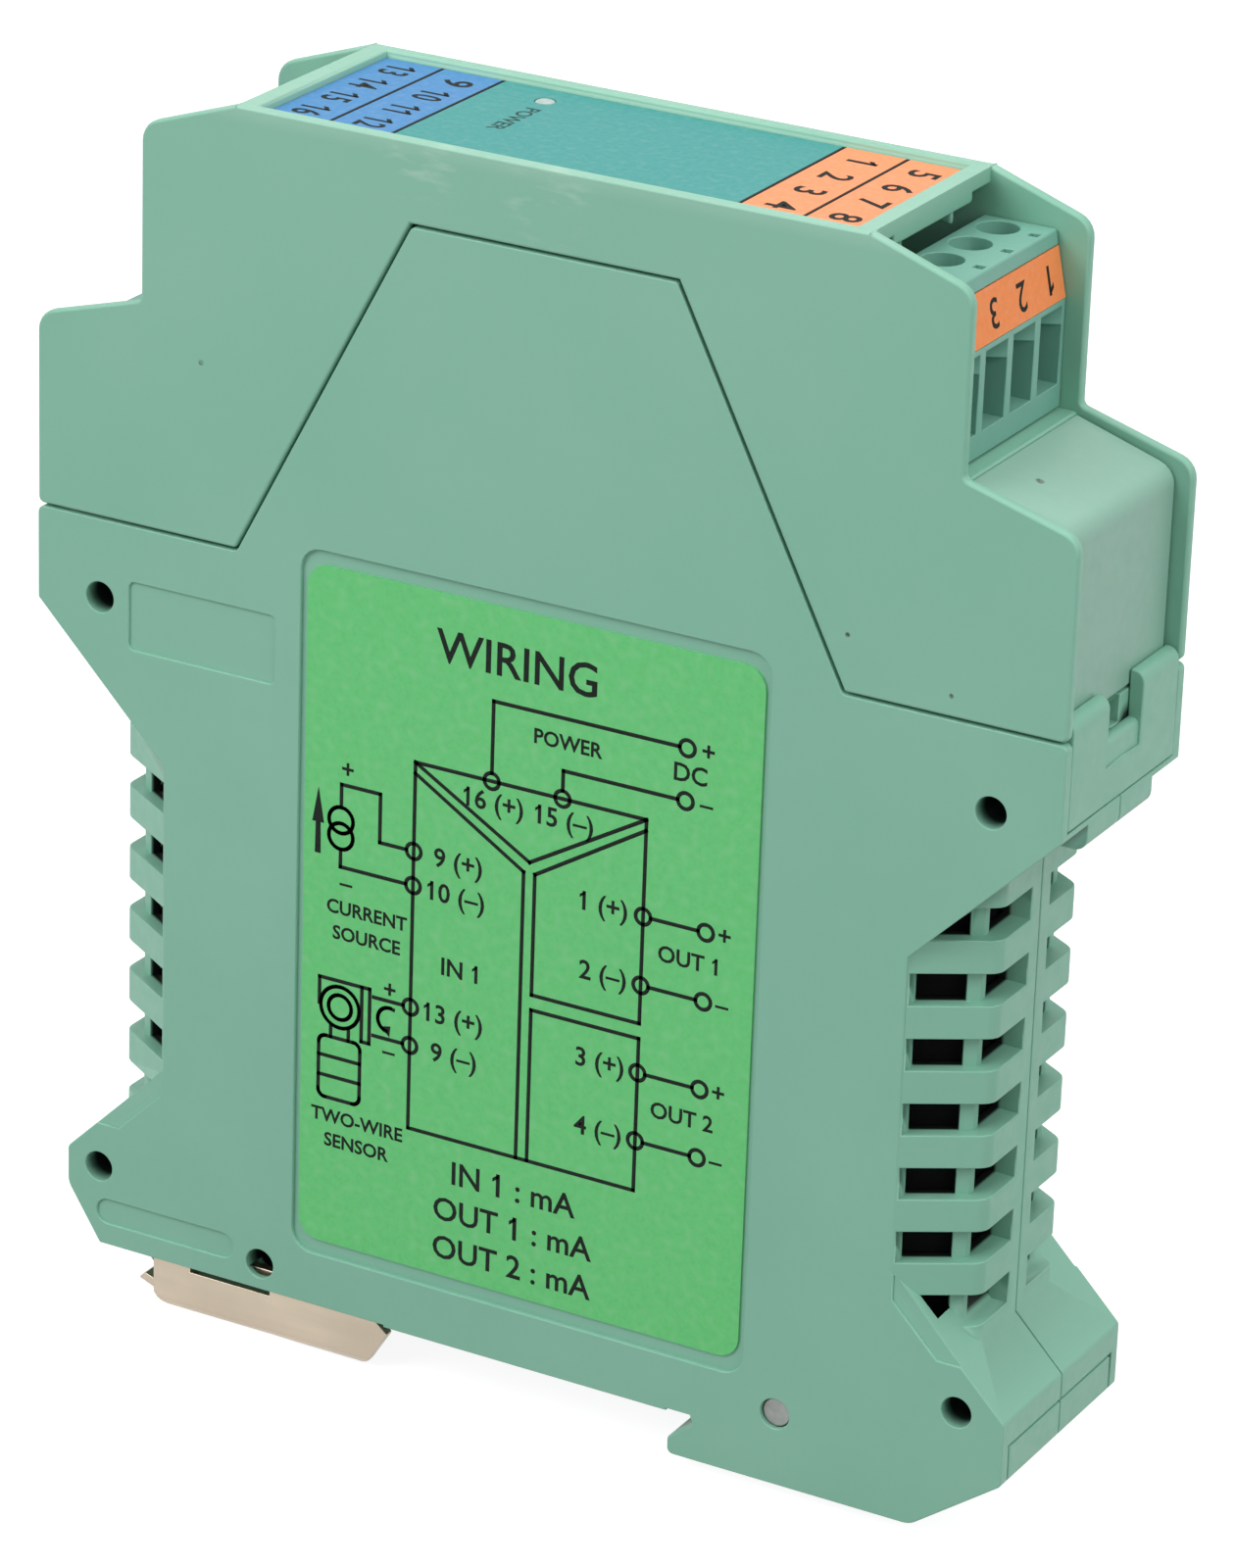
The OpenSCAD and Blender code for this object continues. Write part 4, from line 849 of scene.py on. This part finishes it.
# power light: a light pipe with a domed end
lensSizes = {"dome": 0.3, "domeAngles": (0.35, 0.7, 1.05, 1.35)}
low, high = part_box("power_light")
lightRadius, dome = (high.x - low.x) / 2, lensSizes["dome"] * mm
profile = [(lightRadius, low.z), (lightRadius, high.z - dome)]
profile += [(lightRadius * math.cos(a), high.z - dome + dome * math.sin(a)) for a in lensSizes["domeAngles"]]
lens = turnedMesh("powerLens", profile)
lens.transform(Matrix.Translation(((low.x + high.x) / 2, (low.y + high.y) / 2, 0)))
addPiece("powerLens", evenNormals(lens), frostedLens, ["power_light"])


# inner pieces: boxes of a node's separate solids, in metres
def solidBoxes(node):
    form = weldedForm(node)
    waiting, boxes = set(form.verts), []
    while waiting:
        group, edge = set(), [waiting.pop()]
        while edge:
            vert = edge.pop()
            group.add(vert)
            near = {other for link in vert.link_edges for other in link.verts} & waiting
            waiting -= near
            edge += near
        spans = [[vert.co[axis] for vert in group] for axis in range(3)]
        boxes.append((Vector([min(span) for span in spans]), Vector([max(span) for span in spans])))
    form.free()
    return sorted(boxes, key=lambda box: tuple(round(value, 5) for value in box[0]))


def legTree():  # bent legs on points, each turned to face out of its chip
    tree, start, end = newTree("chipLegs", "Leg Reach", "Leg Drop", "Wire Radius")
    path = addNode(tree, "GeometryNodeCurvePrimitiveLine", {"Direction": (1, 0, 0)}, mode="DIRECTION")
    bend = addNode(tree, "GeometryNodeResampleCurve", {"Count": 9})
    place = addNode(tree, "GeometryNodeSetPosition")
    step = addNode(tree, "GeometryNodeSplineParameter")
    shape = addNode(tree, "ShaderNodeMapRange", {"From Min": 0.3, "From Max": 0.7},
                    interpolation_type="SMOOTHSTEP")
    drop = addNode(tree, "ShaderNodeMath", operation="MULTIPLY")
    shift = addNode(tree, "ShaderNodeCombineXYZ")
    spread = addNode(tree, "GeometryNodeInstanceOnPoints")
    facing = addNode(tree, "GeometryNodeInputNamedAttribute", {"Name": "facing"}, data_type="FLOAT_VECTOR")
    linkAll(tree, (start, "Leg Reach", path, "Length"), (path, "Curve", bend, "Curve"),
            (bend, "Curve", place, "Geometry"), (start, "Geometry", spread, "Points"),
            (step, "Factor", shape, "Value"), (shape, "Result", drop, 0), (start, "Leg Drop", drop, 1),
            (drop, "Value", shift, "Y"), (shift, "Vector", place, "Offset"),
            (wireSweep(tree, start, place, 8), "Mesh", spread, "Instance"),
            (facing, "Attribute", spread, "Rotation"))
    return endTree(tree, start, end, spread, "Instances")


def windingTree():  # loops of wire stacked along Z
    tree, start, end = newTree("coilWinding", "Loop Width", "Loop Depth", "Corner Radius", "Wire Radius",
                               "Pitch", whole=["Loops"])
    loop = addNode(tree, "GeometryNodeCurvePrimitiveQuadrilateral")
    corner = addNode(tree, "GeometryNodeFilletCurve", {"Count": 5}, mode="POLY")
    stack = addNode(tree, "GeometryNodeMeshLine")
    step = addNode(tree, "ShaderNodeCombineXYZ")
    spread = addNode(tree, "GeometryNodeInstanceOnPoints")
    linkAll(tree, (start, "Loop Width", loop, "Width"), (start, "Loop Depth", loop, "Height"),
            (loop, "Curve", corner, "Curve"), (start, "Corner Radius", corner, "Radius"),
            (start, "Loops", stack, "Count"), (start, "Pitch", step, "Z"),
            (step, "Vector", stack, "Offset"), (stack, "Mesh", spread, "Points"),
            (wireSweep(tree, start, corner, 8), "Mesh", spread, "Instance"))
    return endTree(tree, start, end, spread, "Instances")


# isolating chips: softened blocks with rows of legs down to the board
chipSizes = {"edge": 0.25, "legPitch": 1.27, "legReach": 0.75, "legRadius": 0.16, "legRise": 1.2, "bare": 1.0}
softPiece("isolator_chips", chipSizes["edge"], blackMoulding)
places, turns = [], []
for low, high in solidBoxes("isolator_chips"):
    middle, half = (low + high) / 2, (high - low) / 2
    tall = high.z - low.z > high.x - low.x
    span = (high.z - low.z if tall else high.x - low.x) / mm
    count = int((span - chipSizes["bare"]) / chipSizes["legPitch"])
    level = high.y - chipSizes["legRise"] * mm
    for k in range(count):
        along = (k - (count - 1) / 2) * chipSizes["legPitch"] * mm
        for side in (-1, 1):
            if tall:
                places.append((middle.x + side * half.x, level, middle.z + along))
                turns.append((0, 0 if side > 0 else math.pi, 0))
            else:
                places.append((middle.x + along, level, middle.z + side * half.z))
                turns.append((0, -side * math.pi / 2, 0))
legPoints = bpy.data.meshes.new("legPoints")
legPoints.from_pydata(places, [], [])
facing = legPoints.attributes.new("facing", "FLOAT_VECTOR", "POINT")
facing.data.foreach_set("vector", [value for turn in turns for value in turn])
legs = runTree(legTree(), legPoints, {
    "Leg Reach": chipSizes["legReach"] * mm, "Wire Radius": chipSizes["legRadius"] * mm,
    "Leg Drop": (chipSizes["legRise"] - chipSizes["legRadius"]) * mm, "Material": screwSteel})
legs.shade_smooth()
addPiece("chipLegs", legs, screwSteel)

# transformer coil: enamelled wire round the core's middle leg
coilSizes = {"wire": 0.26, "corner": 0.9, "pitch": 0.53}
low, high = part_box("transformer_coil")
wire, pitch = coilSizes["wire"] * mm, coilSizes["pitch"] * mm
loops = int((high.z - low.z - 2 * wire) / pitch) + 1
winding = runTree(windingTree(), bpy.data.meshes.new("winding"), {
    "Loop Width": high.x - low.x - 2 * wire, "Loop Depth": high.y - low.y - 2 * wire, "Wire Radius": wire,
    "Corner Radius": coilSizes["corner"] * mm, "Loops": loops, "Pitch": pitch, "Material": windingCopper})
winding.transform(Matrix.Translation(((low.x + high.x) / 2, (low.y + high.y) / 2,
                                      (low.z + high.z - (loops - 1) * pitch) / 2)))
winding.shade_smooth()
addPiece("coilWinding", winding, windingCopper)

# reservoir capacitors: crimped cans with a sunken top
canSizes = {"edge": 0.35, "crimpAt": 1.6, "crimpDepth": 0.3, "crimpHalf": 0.45, "rim": 0.6, "sink": 0.15,
            "sharpAngle": 35}
edge, crimp, crimpHalf, sink = canSizes["edge"], canSizes["crimpAt"], canSizes["crimpHalf"], canSizes["sink"]
canNode = "reservoir_capacitors"
cans = bmesh.new()
for low, high in solidBoxes(canNode):
    outer, tall = (high.x - low.x) / 2 / mm, (high.y - low.y) / mm
    inner = outer - canSizes["rim"]
    profile = [(outer - edge, 0), (outer, edge), (outer, crimp - crimpHalf),
               (outer - canSizes["crimpDepth"], crimp), (outer, crimp + crimpHalf), (outer, tall - edge),
               (outer - edge, tall), (inner, tall), (inner - sink, tall - sink)]
    can = turnedMesh("can", [(radius * mm, height * mm) for radius, height in profile])
    place = Matrix.Translation(((low.x + high.x) / 2, high.y, (low.z + high.z) / 2))
    can.transform(place @ Matrix.Rotation(math.pi / 2, 4, "X"))
    cans.from_mesh(can)
    bpy.data.meshes.remove(can)
canMesh = evenNormals(meshFrom(cans, "reservoirCans"), canSizes["sharpAngle"])
addPiece("reservoirCans", canMesh, blackMoulding, [canNode])

# black sheet that paints the shade behind the vents: at each end a bent sheet seen from above, and a strip at
# the seam, in mm
shadeSheetSizes = {
    "path": [(35.0, -9.15), (39.8, -6.1), (39.8, 6.1), (35.0, 9.15)], "thickness": 0.2,
    "heights": (19.5, 58.5), "strip": (0.4, 0.1, 66.0), "stripPlace": (40.25, 0.0, 40.8),
}
form = bmesh.new()
for side in (-1, 1):
    outer = [(side * x * mm, y * mm) for x, y in shadeSheetSizes["path"]]
    inner = [(x - side * shadeSheetSizes["thickness"] * mm, y) for x, y in outer]
    outline = outer + inner[::-1]
    lower, upper = ([form.verts.new((x, y, z * mm)) for x, y in outline] for z in shadeSheetSizes["heights"])
    count = len(outline)
    for k in range(count):
        form.faces.new((lower[k], lower[(k + 1) % count], upper[(k + 1) % count], upper[k]))
    for loop in (lower, upper):
        for k in range(count // 2 - 1):
            form.faces.new((loop[k], loop[k + 1], loop[count - 2 - k], loop[count - 1 - k]))
stripSize = Matrix.Diagonal((*(size * mm for size in shadeSheetSizes["strip"]), 1))
stripPlace = Matrix.Translation(Vector(shadeSheetSizes["stripPlace"]) * mm)
bmesh.ops.create_cube(form, size=1, matrix=stripPlace @ stripSize)
bmesh.ops.recalc_face_normals(form, faces=form.faces)
addPiece("ventShadeSheet", meshFrom(form, "ventShadeSheet"), shadeSheetBlack)
print("inner pieces made")

# CAD nodes that keep their own shape get their finish
finishes = {
    "front_label": frontFilmMaterial, "wiring_label": wiringPaper, "right_marker": orangeFilm,
    "left_upper_marker": blueFilm, "left_lower_marker": blueFilm, "circuit_board": boardLaminate,
    "transformer_core": ferriteGrey, "transformer_coil": windingCopper, "power_led": frostedLens,
}
for bay in bays:
    finishes[f"{bay}_contacts"] = contactBrass
    finishes[f"{bay}_header_pins"] = contactBrass
for node, material in finishes.items():
    nodes[node].data.materials.clear()
    nodes[node].data.materials.append(material)
print("plain pieces finished")


# floor, light and camera; sizes of the stage in metres
def shownRays(tree):  # 1 for what is seen directly, in metal or through glass, 0 for the light on the part
    rays = addNode(tree, "ShaderNodeLightPath").outputs
    direct = mathOn("MAXIMUM", rays["Is Camera Ray"], rays["Is Glossy Ray"])
    return mathOn("MAXIMUM", direct, rays["Is Transmission Ray"])


stageSizes = {
    "floor": 8.0, "floorColour": (0.32, 0.32, 0.32), "floorRoughness": 0.9, "floorShown": 0.9, "drop": 0.0002,
    "worldLight": 0.35, "worldShown": 1.0, "lampAim": (0, 0, 0.055),
}
form = bmesh.new()
bmesh.ops.create_grid(form, x_segments=1, y_segments=1, size=stageSizes["floor"] / 2)
floorMesh = meshFrom(form, "floor")
floorMesh.transform(Matrix.Translation((0, 0, -stageSizes["drop"])))
floor = bpy.data.objects.new("floor", floorMesh)
bpy.context.scene.collection.objects.link(floor)
floorMaterial, shader, _ = plainMaterial("paleFloor", specular=0.0)
shader.inputs["Roughness"].default_value = stageSizes["floorRoughness"]
shader.inputs["Base Color"].default_value = (*stageSizes["floorColour"], 1)
shader.inputs["Emission Color"].default_value = (1, 1, 1, 1)
glow = mathOn("MULTIPLY", shownRays(floorMaterial.node_tree), stageSizes["floorShown"])
feed(shader.inputs["Emission Strength"], glow)
floorMesh.materials.append(floorMaterial)

scene = bpy.context.scene
scene.view_settings.view_transform = "Standard"
world = bpy.data.worlds.new("studio")
scene.world = world
world.use_nodes = True
background = world.node_tree.nodes["Background"].inputs
background["Color"].default_value = (1, 1, 1, 1)
shown = rangeOn(shownRays(world.node_tree), 0, 1, stageSizes["worldLight"], stageSizes["worldShown"])
feed(background["Strength"], shown)

lamps = {  # place in metres, width, height, power
    "keyPanel": ((-0.30, -0.52, 0.55), 0.5, 0.5, 3.7),
    "endPanel": ((0.52, -0.12, 0.45), 0.35, 0.35, 1.65),
    "topPanel": ((0.05, 0.25, 1.10), 0.8, 0.8, 4.3),
}
for name, (place, width, height, power) in lamps.items():
    data = bpy.data.lights.new(name, "AREA")
    data.shape, data.size, data.size_y, data.energy = "RECTANGLE", width, height, power
    lamp = bpy.data.objects.new(name, data)
    lamp.location = place
    towards = Vector(stageSizes["lampAim"]) - Vector(place)
    lamp.rotation_euler = towards.to_track_quat("-Z", "Y").to_euler()
    scene.collection.objects.link(lamp)

cameraSizes = {  # places, lens and sensor in mm, roll in degrees, clip in metres
    "eye": (254.7, -461.8, 277.3), "aim": (2.48, 0.0, 56.95), "roll": 1.97, "lens": 152.97, "sensor": 36.0,
    "clip": (0.01, 20),
}
eye, aim = Vector(cameraSizes["eye"]) * mm, Vector(cameraSizes["aim"]) * mm
back = (eye - aim).normalized()
level = Vector((0, 0, 1)).cross(back).normalized()
roll = Matrix.Rotation(math.radians(cameraSizes["roll"]), 4, "Z")
cameraData = bpy.data.cameras.new("photoCamera")
cameraData.lens, cameraData.sensor_width = cameraSizes["lens"], cameraSizes["sensor"]
cameraData.clip_start, cameraData.clip_end = cameraSizes["clip"]
camera = bpy.data.objects.new("photoCamera", cameraData)
camera.matrix_world = planeMatrix(eye, level, back.cross(level)) @ roll
scene.collection.objects.link(camera)
scene.camera = camera
print("stage, lamps and camera placed")
